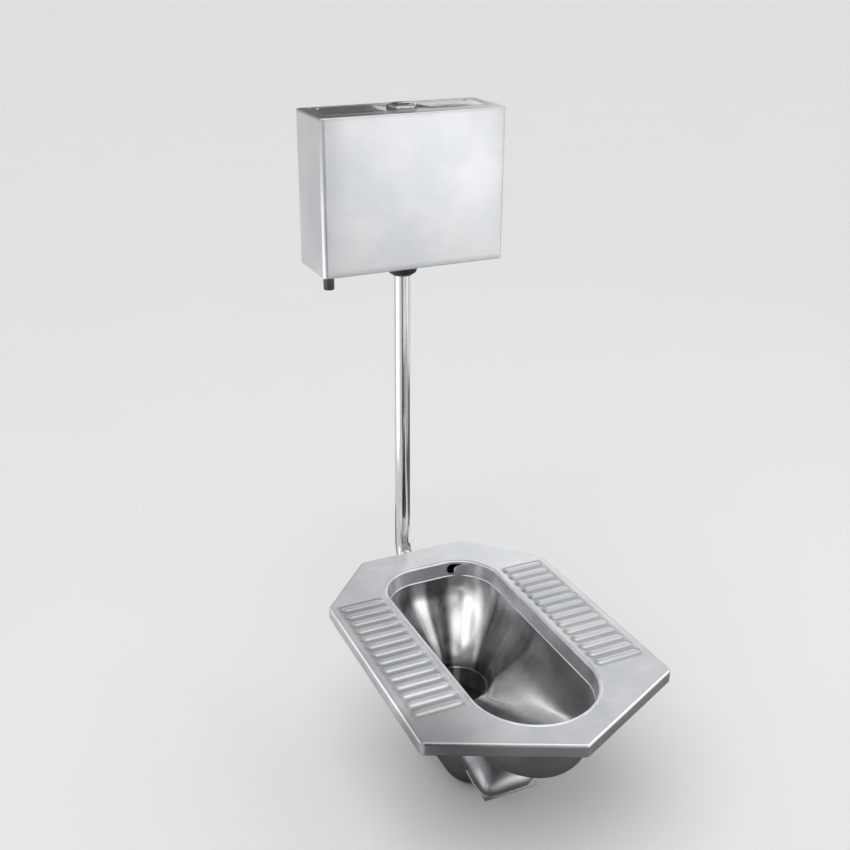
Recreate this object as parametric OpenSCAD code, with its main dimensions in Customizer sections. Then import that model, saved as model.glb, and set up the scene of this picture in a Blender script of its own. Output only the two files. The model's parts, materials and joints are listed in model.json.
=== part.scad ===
// Squat toilet of stainless steel: a floor pan with ribbed treads, a lofted
// bowl and a water-seal trap, fed by a flush pipe from a wall-hung tank.
// Millimetres, +Z up, +Y to the wall, +X to the right of someone facing the
// tank. The origin is the centre of the soil outlet's lower end.

/* [Deck] */
// Width of the deck across its front corners
deck_w = 500; // [470:5:560]
// Length from the back edge to the front point
deck_len = 704; // [700:2:760]
// How much narrower each side is at the rear than at the front
deck_taper = 8.5; // [0:0.5:14]
// Length of the straight back edge
back_w = 235; // [200:5:280]
// Depth of the two rear corner cuts, along the length
back_cut = 134; // [110:2:140]
// Depth of the pointed front, along the length
front_cut = 120; // [80:2:124]
// Thickness of the pressed sheet
sheet_t = 1.5; // [1:0.1:2]
// Height of the skirt round the deck
skirt_h = 25; // [20:1:28]
// Radius of the bend from the deck into its skirt
edge_r = 5; // [4:0.5:7]
// Radius of the deck's corners, seen from above
corner_r = 12; // [12:0.5:18]
// Width of the turned-in lip under the skirt
lip_w = 12; // [10:1:13]

/* [Treads] */
// Number of ribs in each tread
rib_count = 14; // [8:1:14]
// Distance from one rib to the next
rib_pitch = 27.1; // [26:0.1:28]
// Width of one rib at its foot
rib_w = 25.5; // [18:0.5:26]
// Height of a rib's crest over the deck
rib_h = 3; // [1.5:0.1:4]
// Distance from the deck's back edge to the middle of the first rib
rib_back = 157; // [155:1:170]
// Clear strip between a rib's outer end and the deck's side
rib_margin = 14; // [12:1:20]
// Clear strip between a rib's inner end and the mouth
rib_gap = 13; // [11:1:20]

/* [Mouth] */
// Width of the mouth
mouth_w = 238; // [232:2:242]
// Length of the mouth
mouth_len = 558; // [550:2:566]
// Distance from the deck's back edge to the mouth
mouth_back = 74; // [72:1:78]
// Radius of the mouth's rear corners
mouth_r = 84; // [76:1:90]
// Width of the rolled bead round the mouth
bead_w = 7; // [6:0.5:9]
// Height of the bead over the deck
bead_h = 1.8; // [0.8:0.1:2.4]
// Depth of the upright neck under the mouth
neck_h = 33; // [31:1:38]
// How far the neck leans inward over its depth
neck_draft = 4; // [2:0.5:6]

/* [Bowl] */
// Depth from the deck to the drain's edge
bowl_depth = 196; // [186:1:205]
// Radius of the drain in the bowl's floor
drain_r = 62; // [60:1:64]
// Distance from the deck's back edge to the middle of the drain
drain_back = 223; // [219:1:227]
// Thickness of the bowl's sheet
bowl_t = 1.5; // [1.2:0.1:2]
// How far the rear wall drops before it turns in
rear_drop = 70; // [50:5:90]
// How far the front wall drops before it turns in
front_drop = 158; // [130:2:160]
// How far along the floor the front wall's bend is felt
front_flat = 1; // [0.8:0.05:1]
// Height of the floor's front end over the drain
front_rise = 88; // [60:2:100]

/* [Trap] */
// Gap between parts that are pushed together
fit_gap = 0.3; // [0.25:0.05:0.4]
// Half the width of the water cup
cup_r = 66; // [65.5:0.5:70]
// How far the water cup runs forward of the drain's middle
cup_run = 78; // [74:1:84]
// Depth of the water cup's bottom under the deck
cup_depth = 362; // [350:1:370]
// Depth of the water cup's top under the deck
cup_top = 232; // [224:1:236]
// Depth of the weir's edge, where water leaves the cup
weir_depth = 280; // [277:1:284]
// Depth of the baffle's lower edge under the deck
baffle_depth = 306; // [298:1:316]
// Depth of the outlet plate under the deck
plate_depth = 290; // [288:1:296]
// Distance from the middle of the drain to the outlet
outlet_reach = 187; // [186:1:192]
// Radius of the outlet's spigot
outlet_r = 38; // [32:1:39]
// Length of the outlet's spigot under its plate
outlet_h = 8; // [6:1:30]
// Half the width of the outlet dome
dome_w = 56; // [54:1:60]
// Height of the outlet dome over its plate
dome_h = 44; // [42:1:48]
// Height of the dome's upright front
dome_nose = 18; // [10:1:24]
// Distance from the outlet's middle to the dome's front
dome_front = 50; // [46:1:56]
// Width of the flange round the dome
flange_w = 2; // [1.5:0.5:6]

/* [Flush pipe] */
// Outside radius of the flush pipe
pipe_r = 16; // [14:0.5:17]
// Wall of the flush pipe
pipe_t = 1; // [0.8:0.1:1.5]
// Distance from the deck's back edge to the pipe's axis
pipe_back = 53; // [50:1:60]
// Height from the deck to the bottom of the tank
pipe_rise = 626; // [500:2:800]
// Radius of the pipe's bend
bend_r = 52; // [51:1:54]
// Depth of the flush chest behind the mouth
chest_d = 36; // [32:1:40]
// Distance from the middle to the port in the neck
port_x = 62; // [56:1:64]
// Width of the port in the neck
port_w = 36; // [28:1:38]
// Half the height of the port in the neck
port_r = 11.5; // [9:0.5:12]

/* [Tank] */
// Width of the tank
tank_w = 374; // [370:2:440]
// Depth of the tank
tank_d = 133; // [130:1:160]
// Height of the tank
tank_h = 293; // [290:1:340]
// Thickness of the tank's sheet
tank_t = 1.2; // [0.8:0.1:2]
// Radius of the tank's upright corners
tank_r = 9; // [8:0.5:14]
// Radius of the bend round the tank's top
top_r = 5; // [3:0.5:6]
// Width of the tank's top frame at the ends
frame_end = 22; // [16:1:23]
// Width of the tank's top frame at the front
frame_front = 31; // [20:1:31]
// Width of the tank's top frame at the back
frame_back = 12; // [10:1:16]
// Thickness of the lid
lid_t = 1.5; // [1:0.1:2]
// Distance between the two wall screws
wall_span = 220; // [160:5:280]
// Radius of the wall screws' holes
wall_hole_r = 4.5; // [3:0.5:6]
// Distance of the wall screws' holes from the tank's top
wall_hole_drop = 60; // [50:1:80]
// Radius of the threaded inlet
inlet_r = 10.48; // [9:0.02:11]
// Length of the inlet under the tank
inlet_len = 40; // [36:1:60]
// Distance from the tank's middle to the inlet
inlet_x = 154; // [140:1:154]

/* [Button] */
// Outside radius of the button's ring
ring_r = 28.5; // [28:0.5:31]
// Height of the ring over the lid
ring_h = 6.5; // [5:0.5:10]
// Radius of the pair of keys
key_r = 22; // [22:0.1:22.6]
// Gap between the two keys
key_gap = 1.2; // [0.8:0.1:2]
// How far the keys stand over the ring
key_rise = 1.2; // [0.4:0.1:2]
// Travel of each key
key_travel = 6; // [4:0.5:6]

/* [Valves] */
// Radius of the nut under the tank
nut_r = 30; // [28:0.5:34]
// Distance of the nut's lower face under the tank
nut_drop = 28; // [26:0.5:34]
// Outside radius of the overflow tube
over_r = 10; // [8:0.5:10]
// Height of the overflow tube's rim over the tank's bottom
over_h = 222; // [205:1:226]
// Height of the valve's cage over the tank's bottom
cage_h = 150; // [130:1:156]
// Arm of a rocker from its pivot to the push rod
arm_in = 10; // [9.6:0.1:10.4]
// Arm of a rocker from its pivot to its lifting tip
arm_out = 15; // [14:0.5:15.5]
// Radius of the fill valve's float
float_r = 28; // [24:0.5:28]
// Travel of the fill valve's float
float_travel = 17.8; // [14:0.1:18]
// Length of the float's arm
float_arm_len = 36; // [35.5:0.1:36.5]

/* [Hidden] */
$fn = 64;
steel = [0.78, 0.79, 0.81];
black = [0.1, 0.1, 0.11];
white = [0.9, 0.9, 0.88];
red = [0.75, 0.2, 0.16];
pin_gap = 0.05;        // running clearance round a pin
arc_n = 8;             // steps in a rear corner of the mouth
front_n = 18;          // steps round the mouth's front
side_n = 16;           // steps along each long side of the mouth
back_n = 4;            // steps along the mouth's back
bowl_n = 14;           // rings from the neck to the drain
collar_up = 8;         // how far the bowl's collar reaches up round the neck
collar_down = 9;       // depth of the collar that holds the drain tube
head_t = 4;            // thickness of the valve's head
boss_r = 2.5;          // radius of a rocker's rounded ends
rod_gap = 0.5;         // gap between a rod and its rocker
rod_y = 14;            // distance of a rocker from the valve's axis
pivot_x = 2;           // distance of a rocker's pin from the middle
rod_x = arm_in + pivot_x;
rocker_z = cage_h + head_t + 11;                  // height of the rockers' pins

pipe_y = drain_back + outlet_reach + pipe_back;   // the pipe's axis, from the outlet
deck_z = plate_depth + outlet_h;                  // the deck's top
back_y = pipe_y - pipe_back;                      // the deck's back edge
drain_y = back_y - drain_back;                    // the middle of the drain
mouth_rear = back_y - mouth_back;
mouth_front = mouth_rear - mouth_len;
tank_z = deck_z + pipe_rise;                      // the tank's bottom
front_half = deck_w / 2;
rear_half = front_half - deck_taper;

// ---- outlines ----------------------------------------------------------

function unit(v) = v / norm(v);
function mix(a, b, t) = a + (b - a) * t;
function turn(v) = [-v.y, v.x];
function at(pts, i) = pts[(i + len(pts)) % len(pts)];

// A convex outline, counter-clockwise, moved inward by d.
function inset(pts, d) = [
    for (i = [0 : len(pts) - 1])
        let (n0 = turn(unit(pts[i] - at(pts, i - 1))),
            n1 = turn(unit(at(pts, i + 1) - pts[i])))
        pts[i] + d * (n0 + n1) / (1 + n0 * n1)
];

// The same outline with every corner rounded in a few steps.
function rounded(pts, r, steps) = [
    for (i = [0 : len(pts) - 1])
        let (u0 = unit(pts[i] - at(pts, i - 1)),
            u1 = unit(at(pts, i + 1) - pts[i]),
            bend = acos(u0 * u1),
            centre = pts[i] - u0 * r * tan(bend / 2) + turn(u0) * r)
        for (k = [0 : steps])
            let (a = bend * k / steps)
            centre + r * (u0 * sin(a) - turn(u0) * cos(a))
];

deck_corners = [
    [-back_w / 2, back_y],
    [-rear_half, back_y - back_cut],
    [-front_half, back_y - deck_len + front_cut],
    [0, back_y - deck_len],
    [front_half, back_y - deck_len + front_cut],
    [rear_half, back_y - back_cut],
    [back_w / 2, back_y]
];

function deck_outline(d) = rounded(inset(deck_corners, d), max(corner_r - d, 3), 3);

function arc(c, r, a0, a1, n) = [
    for (i = [0 : n])
        let (a = mix(a0, a1, i / n))
        c + r * [cos(a), sin(a)]
];

// The mouth's outline, grown outward by g: two rear corners and a round front.
function mouth_outline(g) =
    let (w = mouth_w / 2,
        cr = [w - mouth_r, mouth_rear - mouth_r],
        cf = [0, mouth_front + w])
    concat(arc(cr, mouth_r + g, 0, 90, arc_n),
        [for (i = [1 : back_n - 1]) [mix(cr.x, -cr.x, i / back_n), mouth_rear + g]],
        arc([-cr.x, cr.y], mouth_r + g, 90, 180, arc_n),
        [for (i = [1 : side_n - 1]) [-w - g, mix(cr.y, cf.y, i / side_n)]],
        arc(cf, w + g, 180, 360, front_n),
        [for (i = [1 : side_n - 1]) [w + g, mix(cf.y, cr.y, i / side_n)]]);

function box_corners(w, d) = [[-w / 2, -d / 2], [w / 2, -d / 2], [w / 2, d / 2], [-w / 2, d / 2]];
function tank_outline(d) = rounded(box_corners(tank_w - 2 * d, tank_d - 2 * d), max(tank_r - d, 0.6), 6);

function lift(outline, z) = [for (p = outline) [p.x, p.y, z]];

// ---- meshes ------------------------------------------------------------

// Faces between ring k and another one, each ring n points long.
function band(k, next, n) = [
    for (i = [0 : n - 1])
        let (j = (i + 1) % n,
            a = k * n + i,
            b = next * n + i,
            c = next * n + j,
            d = k * n + j)
        for (f = [[a, b, c], [a, c, d]]) f
];

// A closed tube whose rings run round a hole, the last ring joining the first.
module hoop(rings) {
    n = len(rings[0]);
    m = len(rings);
    polyhedron(points = [for (r = rings) for (p = r) p],
        faces = [for (k = [0 : m - 1]) for (f = band(k, (k + 1) % m, n)) f], convexity = 6);
}

// A solid skinned over its rings and closed at both ends.
module skin(rings) {
    n = len(rings[0]);
    m = len(rings);
    first = [for (i = [0 : n - 1]) i];
    last = [for (i = [n - 1 : -1 : 0]) (m - 1) * n + i];
    polyhedron(points = [for (r = rings) for (p = r) p],
        faces = concat([for (k = [0 : m - 2]) for (f = band(k, k + 1, n)) f], [first, last]), convexity = 6);
}

// ---- pan ---------------------------------------------------------------

// Half the deck's width at a place along it.
function half_at(y) =
    mix(rear_half, front_half, (back_y - back_cut - y) / (deck_len - back_cut - front_cut));

function rib_y(i) = back_y - rib_back - i * rib_pitch;

// Section of the deck's edge, skirt and lip: how far in from the outline, and how high.
function bend_section(r, a0, a1) = [
    for (i = [0 : 5])
        let (a = mix(a0, a1, i / 5))
        [edge_r - r * sin(a), -edge_r + r * cos(a)]
];

skirt_section = concat(
    [[lip_w, -skirt_h], [sheet_t / 3, -skirt_h], [0, -skirt_h + sheet_t / 3]],
    bend_section(edge_r, 90, 0),
    [[edge_r + 3, 0], [edge_r + 3, -sheet_t]],
    bend_section(edge_r - sheet_t, 0, 90),
    [[sheet_t, -skirt_h + sheet_t], [lip_w, -skirt_h + sheet_t]]
);

// One rib: a bar with a rounded crest and sloping ends, down to z = -foot.
module rib(length, foot) {
    end = 8;
    half = rib_w / 2;
    intersection() {
        rotate([90, 0, 90])
            linear_extrude(height = length)
                polygon([[-half, -foot], [half, -foot], [half, 0], [half * 0.24, rib_h * 0.88],
                    [half * 0.08, rib_h], [-half * 0.08, rib_h], [-half * 0.24, rib_h * 0.88], [-half, 0]]);
        rotate([90, 0, 0])
            linear_extrude(height = rib_w + 2, center = true)
                polygon([[0, -foot - 1], [length, -foot - 1], [length, 0], [length - end, rib_h + 0.2],
                    [end, rib_h + 0.2], [0, 0]]);
    }
}

module rib_pattern(foot) {
    inner = mouth_w / 2 + rib_gap;
    for (side = [-1, 1], i = [0 : rib_count - 1]) {
        length = half_at(rib_y(i)) - rib_margin - inner;
        translate([side > 0 ? inner : -inner - length, rib_y(i), 0])
            rib(length, foot);
    }
}

module pan_deck() {
    color(steel)
    translate([0, 0, deck_z]) {
        difference() {
            union() {
                translate([0, 0, -sheet_t])
                    linear_extrude(height = sheet_t)
                        difference() {
                            polygon(deck_outline(edge_r + 3));
                            polygon(mouth_outline(bead_w / 2));
                        }
                rib_pattern(sheet_t / 2);
            }
            translate([0, 0, -sheet_t])
                rib_pattern(sheet_t);
        }
        hoop([for (p = skirt_section) lift(deck_outline(p.x), p.y)]);
    }
}

// How far the neck's inner face stands outside the mouth's line at a height.
neck_start = 3;
function neck_at(z) = mix(-1, -neck_draft, (-z - neck_start) / (neck_h - neck_start));

// Section of the neck, from the bead's foot over its crest and down the wall.
neck_section = concat(
    [[bead_w, fit_gap]],
    [for (a = [30 : 30 : 150]) [bead_w / 2 * (1 + cos(a)), mix(fit_gap, bead_h, sin(a))]],
    [[-0.6, -1.2], [neck_at(-neck_start), -neck_start], [neck_at(-neck_h), -neck_h]],
    [[neck_at(-neck_h) + sheet_t, -neck_h], [neck_at(-neck_start) + sheet_t, -sheet_t]],
    [[bead_w / 2 - 1.2, -0.6], [bead_w / 2 - 1, fit_gap]]
);

// The oval port through which the flush water enters.
module port() {
    reach = mouth_r + 20;
    half = port_w / 2 - port_r;
    translate([port_x, mouth_rear - mouth_r, -neck_h / 2])
        rotate([-90, 0, 0]) {
            for (side = [-1, 1])
                translate([side * half, 0, 0])
                    cylinder(r = port_r, h = reach, $fn = 32);
            translate([-half, -port_r, 0])
                cube([2 * half, 2 * port_r, reach]);
        }
}

module rim_neck() {
    color(steel)
    translate([0, 0, deck_z])
        difference() {
            hoop([for (p = neck_section) lift(mouth_outline(p.x), p.y)]);
            port();
        }
}

// ---- bowl --------------------------------------------------------------

drain_c = [0, drain_y];
function toward(p) = unit(p - drain_c);
// 1 straight ahead of the drain, falling quickly to either side.
function frontness(d) = pow((1 - d.y) / 2, 12);
function bezier(p0, p1, p2, p3, t) =
    pow(1 - t, 3) * p0 + 3 * t * pow(1 - t, 2) * p1 + 3 * t * t * (1 - t) * p2 + pow(t, 3) * p3;

// The bowl's upper edge lies just outside the neck, at any height.
function bowl_edge(z) = lift(mouth_outline(neck_at(z) + sheet_t + fit_gap), z);
bowl_top = bowl_edge(-neck_h);
function drain_point(p, z) = let (d = toward([p.x, p.y])) [d.x * drain_r, drain_y + d.y * drain_r, z];

// One line of the bowl, from the neck down to the drain.
function meridian(p0, t) =
    let (d = toward([p0.x, p0.y]),
        f = frontness(d),
        run = norm([p0.x, p0.y] - drain_c) - drain_r,
        p3 = drain_point(p0, -bowl_depth),
        p1 = p0 - [0, 0, mix(rear_drop, front_drop, f)],
        p2 = p3 + [d.x, d.y, 0] * run * mix(0.12, front_flat, f) + [0, 0, mix(60, front_rise, f)])
    bezier(p0, p1, p2, p3, t);

bowl_grid = concat(
    [bowl_edge(-neck_h + collar_up)],
    [for (k = [0 : bowl_n]) [for (p = bowl_top) meridian(p, k / bowl_n)]],
    [[for (p = bowl_top) drain_point(p, -bowl_depth - collar_down)]]
);

// The grid pushed outward along its own normals, its two ends kept level.
function pushed(grid, d) =
    let (m = len(grid), n = len(grid[0]))
    [for (k = [0 : m - 1]) [for (i = [0 : n - 1])
        let (along = grid[min(k + 1, m - 1)][i] - grid[max(k - 1, 0)][i],
            across = at(grid[k], i + 1) - at(grid[k], i - 1),
            p = grid[k][i] + d * unit(cross(across, along)))
        k == 0 || k == m - 1 ? [p.x, p.y, grid[k][i].z] : p]];

module bowl() {
    outer = pushed(bowl_grid, -bowl_t);
    m = len(outer);
    color(steel)
    translate([0, 0, deck_z])
        difference() {
            hoop(concat(bowl_grid, [for (k = [m - 1 : -1 : 0]) outer[k]]));
            port();
        }
}

// ---- trap --------------------------------------------------------------

cup_y = drain_y - cup_run;                 // middle of the cup's round front

// The cup's plan: straight sides and two round ends, moved inward by d.
function cup_plan(d) = concat(
    arc([0, drain_y], cup_r - d, 0, 180, 14),
    arc([0, cup_y], cup_r - d, 180, 360, 14)
);

// The cup's body, with a rounded bottom, moved inward by d all round.
module cup_solid(d) {
    knee = 48 - d;
    low = -cup_depth + d;
    skin(concat(
        [for (a = [0 : 15 : 90]) lift(cup_plan(d + knee * (1 - sin(a))), low + knee * (1 - cos(a)))],
        [lift(cup_plan(d), -cup_top - d)]));
}

module drain_tube() {
    outer = drain_r - fit_gap;
    top = -bowl_depth - 2;
    low = -cup_top - 12;
    color(steel)
    translate([0, drain_y, deck_z])
        rotate_extrude($fn = 96)
            polygon([[outer, top], [outer, low], [outer - sheet_t, low], [outer - sheet_t, top - 3],
                [outer - 3, top - 1.4], [outer - 2.6, top]]);
}

// The passage from the cup into the dome, above the weir.
module weir_cut() {
    half = dome_w - 18;
    shoulder = -plate_depth + dome_h * 0.62;
    crown = -plate_depth + dome_h * 0.88;
    translate([0, cup_y, 0])
        rotate([90, 0, 0])
            linear_extrude(height = cup_r + 10)
                polygon([[-half, -weir_depth], [half, -weir_depth], [half, shoulder], [half - 16, crown],
                    [16 - half, crown], [-half, shoulder]]);
}

module water_cup() {
    color(steel)
    translate([0, 0, deck_z])
        difference() {
            cup_solid(0);
            cup_solid(sheet_t);
            translate([0, drain_y, -cup_top - 3])
                cylinder(r = drain_r, h = 10, $fn = 96);
            weir_cut();
        }
}

// The upright plate that dips into the water and holds back the air.
module trap_baffle() {
    half = cup_r - sheet_t - fit_gap;
    color(steel)
    translate([-half, drain_y - drain_r - 7, deck_z - baffle_depth])
        cube([2 * half, sheet_t, baffle_depth - cup_top - sheet_t]);
}

// One arch across the dome; a larger power makes it squarer.
function arch(y, w, h, power) = [
    for (a = [0 : 12 : 180])
        [w * sign(cos(a)) * pow(abs(cos(a)), 2 / power), y,
            -plate_depth + sheet_t + h * pow(abs(sin(a)), 2 / power)]
];

// Rings of the outlet dome, from inside the cup to its upright front.
function dome_rings(d) =
    let (w = dome_w - d, h = dome_h - d, nose = dome_nose - d)
    concat(
        [arch(cup_y + 10, w - 10, h - 2, 2.3), arch(cup_y - cup_r, w - 5, h, 2.3)],
        [for (a = [0 : 15 : 90])
            arch(-(dome_front - d) * sin(a), w, mix(nose, h, cos(a)), 2.5 + 4 * pow(sin(a), 2))]
    );

module outlet_dome() {
    color(steel)
    translate([0, 0, deck_z])
        difference() {
            skin(dome_rings(0));
            translate([0, 0, -0.01])
                skin(dome_rings(sheet_t));
            translate([0, 0, -cup_depth])
                linear_extrude(height = cup_depth)
                    polygon(cup_plan(-fit_gap));
        }
}

module outlet_plate() {
    front = dome_front + flange_w;
    half = dome_w + flange_w;
    color(steel)
    translate([0, 0, outlet_h])
        difference() {
            linear_extrude(height = sheet_t)
                difference() {
                    polygon([[-half, -front], [half, -front], [half - 10, cup_y - cup_r + 20],
                        [10 - half, cup_y - cup_r + 20]]);
                    polygon(cup_plan(-fit_gap));
                }
            translate([0, 0, -1])
                cylinder(r = outlet_r - sheet_t, h = sheet_t + 2, $fn = 96);
        }
}

module outlet_spigot() {
    color(steel)
    difference() {
        cylinder(r = outlet_r, h = outlet_h, $fn = 96);
        translate([0, 0, -1])
            cylinder(r = outlet_r - sheet_t, h = outlet_h + 2, $fn = 96);
    }
}

module lug() {
    drop = 44;
    rotate([90, 0, 0])
        linear_extrude(height = 24, center = true)
            polygon([[0, 0], [0, -2], [20, -2], [28, -drop], [44, -drop], [44, 2 - drop], [30, 2 - drop],
                [22, 0]]);
}

module anchor_lugs() {
    half = rib_w / 2 + 18;
    color(steel)
    for (side = [0, 1], y = [rib_y(0) + half, rib_y(rib_count - 1) - half])
        mirror([side, 0, 0])
            translate([mouth_w / 2 + 28, y, deck_z - sheet_t])
                lug();
}

// ---- flush inlet -------------------------------------------------------

chest_front = mouth_rear + neck_at(-neck_start) + sheet_t + fit_gap;
chest_back = chest_front + chest_d;
leg_z = deck_z - bend_r;                   // the pipe's lower leg
chest_low = leg_z - pipe_r - 8;
chest_high = deck_z - sheet_t;
socket_r = pipe_r + 3;
socket_end = chest_back + 14;

// The chest's plan, moved inward by d, its front following the neck.
module chest_plan(d) {
    left = -socket_r - 12;
    right = port_x + port_w / 2 + 8;
    difference() {
        translate([left + d, mouth_rear - mouth_r + d])
            square([right - left - 2 * d, chest_back - mouth_rear + mouth_r - 2 * d]);
        polygon(mouth_outline(neck_at(-neck_start) + sheet_t + fit_gap + d));
    }
}

module flush_chest() {
    color(steel)
    difference() {
        translate([0, 0, chest_low])
            linear_extrude(height = chest_high - chest_low)
                chest_plan(0);
        translate([0, 0, chest_low + sheet_t])
            linear_extrude(height = chest_high - chest_low - 2 * sheet_t)
                chest_plan(sheet_t);
        translate([0, chest_back - 3, leg_z])
            rotate([-90, 0, 0])
                cylinder(r = socket_r, h = 6);
        translate([0, 0, deck_z])
            port();
    }
}

module inlet_socket() {
    color(steel)
    translate([0, chest_back, leg_z])
        rotate([-90, 0, 0])
            difference() {
                union() {
                    cylinder(r = socket_r + 4, h = sheet_t);
                    cylinder(r = socket_r + sheet_t, h = socket_end - chest_back);
                }
                translate([0, 0, -1])
                    cylinder(r = socket_r, h = socket_end - chest_back + 2);
            }
}

module inlet_sleeve() {
    color(black)
    translate([0, socket_end, leg_z])
        rotate([90, 0, 0])
            difference() {
                union() {
                    translate([0, 0, -4])
                        cylinder(r = socket_r + 2.4, h = 4);
                    cylinder(r1 = socket_r - 0.1, r2 = socket_r - 0.7, h = 12);
                }
                translate([0, 0, -5])
                    cylinder(r = pipe_r + pin_gap, h = 18);
            }
}

module pipe_wall() {
    difference() {
        circle(r = pipe_r);
        circle(r = pipe_r - pipe_t);
    }
}

module flush_pipe() {
    color(steel)
    translate([0, pipe_y, deck_z]) {
        linear_extrude(height = pipe_rise - 3)
            pipe_wall();
        translate([0, -bend_r, 0])
            rotate([0, 90, 0])
                rotate_extrude(angle = 90, $fn = 96)
                    translate([bend_r, 0])
                        pipe_wall();
        translate([0, -bend_r, -bend_r])
            rotate([90, 0, 0])
                linear_extrude(height = pipe_y - bend_r - chest_back - 4)
                    pipe_wall();
    }
}

// ---- tank --------------------------------------------------------------

lid_w = tank_w - 2 * frame_end;
lid_d = tank_d - frame_front - frame_back;
lid_y = (frame_front - frame_back) / 2;
lid_gap = 0.6;
ledge_end = 20;
ledge_side = 4;
shank_r = 22;
inlet_hole = inlet_r + fit_gap;
inlet_grip = inlet_r * 0.945;              // the thread's middle radius, where nut and tail meet

module in_tank() {
    translate([0, pipe_y, tank_z])
        children();
}

module on_lid() {
    translate([0, pipe_y, tank_z + tank_h])
        children();
}

function top_bend(r, a0, a1) = [
    for (i = [0 : 5])
        let (a = mix(a0, a1, i / 5))
        [top_r - r * cos(a), tank_h - top_r + r * sin(a)]
];

top_section = concat(
    [[0, tank_h - top_r - 4]],
    top_bend(top_r, 0, 90),
    [[top_r + 2, tank_h], [top_r + 2, tank_h - tank_t]],
    top_bend(top_r - tank_t, 90, 0),
    [[tank_t, tank_h - top_r - 4]]
);

// A flat rectangular frame round the lid's opening.
module lid_frame(out_x, out_y, in_x, in_y) {
    difference() {
        square([lid_w + 2 * out_x, lid_d + 2 * out_y], center = true);
        square([lid_w - 2 * in_x, lid_d - 2 * in_y], center = true);
    }
}

module wall_holes(depth) {
    for (side = [-1, 1])
        translate([side * wall_span / 2, tank_d / 2 - depth, tank_h - wall_hole_drop])
            rotate([-90, 0, 0])
                cylinder(r = wall_hole_r, h = depth + 1);
}

module tank_body() {
    seam = tank_h - top_r - 4;
    color(steel)
    in_tank()
        difference() {
            union() {
                linear_extrude(height = tank_t)
                    polygon(tank_outline(0));
                linear_extrude(height = seam)
                    difference() {
                        polygon(tank_outline(0));
                        polygon(tank_outline(tank_t));
                    }
                hoop([for (p = top_section) lift(tank_outline(p.x), p.y)]);
                translate([0, 0, tank_h - tank_t])
                    linear_extrude(height = tank_t)
                        difference() {
                            polygon(tank_outline(top_r + 2));
                            translate([0, lid_y])
                                square([lid_w, lid_d], center = true);
                        }
                translate([0, lid_y, tank_h - lid_t - tank_t]) {
                    linear_extrude(height = lid_t + tank_t)
                        lid_frame(tank_t, tank_t, 0, 0);
                    linear_extrude(height = tank_t)
                        lid_frame(tank_t, tank_t, ledge_end, ledge_side);
                }
            }
            translate([0, 0, -1])
                cylinder(r = shank_r + fit_gap, h = tank_t + 2);
            translate([-inlet_x, 0, -1])
                cylinder(r = inlet_hole, h = tank_t + 2);
            wall_holes(4);
            lid_screw_places(tank_h - lid_t - tank_t - 1)
                cylinder(r = screw_r + fit_gap, h = tank_t + 2, $fn = 24);
        }
}

plate_over = 24;                            // how far the back plate runs past the holes
plate_half = 22;                            // half the back plate's height

module back_plate() {
    depth = 2;
    color(steel)
    in_tank()
        difference() {
            translate([-wall_span / 2 - plate_over, tank_d / 2 - tank_t - depth,
                tank_h - wall_hole_drop - plate_half])
                cube([wall_span + 2 * plate_over, depth, 2 * plate_half]);
            wall_holes(tank_t + depth + 1);
        }
}

screw_r = 2;

module lid_screw_places(z) {
    for (side = [-1, 1])
        translate([side * (lid_w / 2 - 12), 40, z])
            children();
}

module tank_lid() {
    color(steel)
    on_lid()
        difference() {
            translate([-lid_w / 2 + lid_gap, lid_y - lid_d / 2 + lid_gap, -lid_t])
                cube([lid_w - 2 * lid_gap, lid_d - 2 * lid_gap, lid_t]);
            translate([0, 0, -lid_t - 1])
                cylinder(r = thread_r + fit_gap, h = lid_t + 2);
            lid_screw_places(-lid_t - 1)
                cylinder(r = screw_r + fit_gap, h = lid_t + 2, $fn = 24);
        }
}

module lid_screws() {
    color(steel)
    on_lid()
        lid_screw_places(0) {
            difference() {
                cylinder(r1 = 4, r2 = 2.8, h = 1.8, $fn = 32);
                translate([-3.2, -0.5, 1])
                    cube([6.4, 1, 2]);
                translate([-0.5, -3.2, 1])
                    cube([1, 6.4, 2]);
            }
            translate([0, 0, -9])
                cylinder(r = screw_r, h = 9, $fn = 24);
        }
}

// ---- button ------------------------------------------------------------

thread_r = key_r + 3;
web_top = -18;
web_t = 4;
rod_r = 2;
cap_low = -2;                               // underside of a key's cap
cap_top = ring_h + key_rise;

module button_ring() {
    bore = key_r + pin_gap;
    color(steel)
    on_lid()
        difference() {
            rotate_extrude($fn = 96)
                polygon([[0, web_top - web_t], [thread_r, web_top - web_t], [thread_r, 0], [ring_r, 0],
                    [ring_r, ring_h * 0.3], [ring_r - 0.8, ring_h * 0.62], [ring_r - 2.4, ring_h * 0.9],
                    [ring_r - 4, ring_h], [bore + 0.6, ring_h], [bore, ring_h - 0.8], [bore, web_top],
                    [0, web_top]]);
            for (side = [-1, 1])
                translate([side * rod_x, side * rod_y, web_top - web_t - 1])
                    cylinder(r = rod_r + pin_gap, h = web_t + 2, $fn = 24);
        }
}

module ring_nut() {
    color(black)
    on_lid()
        translate([0, 0, -lid_t - 6])
            difference() {
                union() {
                    cylinder(r = thread_r + 4, h = 6);
                    for (a = [0 : 60 : 300])
                        rotate([0, 0, a])
                            translate([thread_r + 2, -3, 0])
                                cube([3.8, 6, 6]);
                }
                translate([0, 0, -1])
                    cylinder(r = thread_r + fit_gap, h = 8);
            }
}

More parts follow.
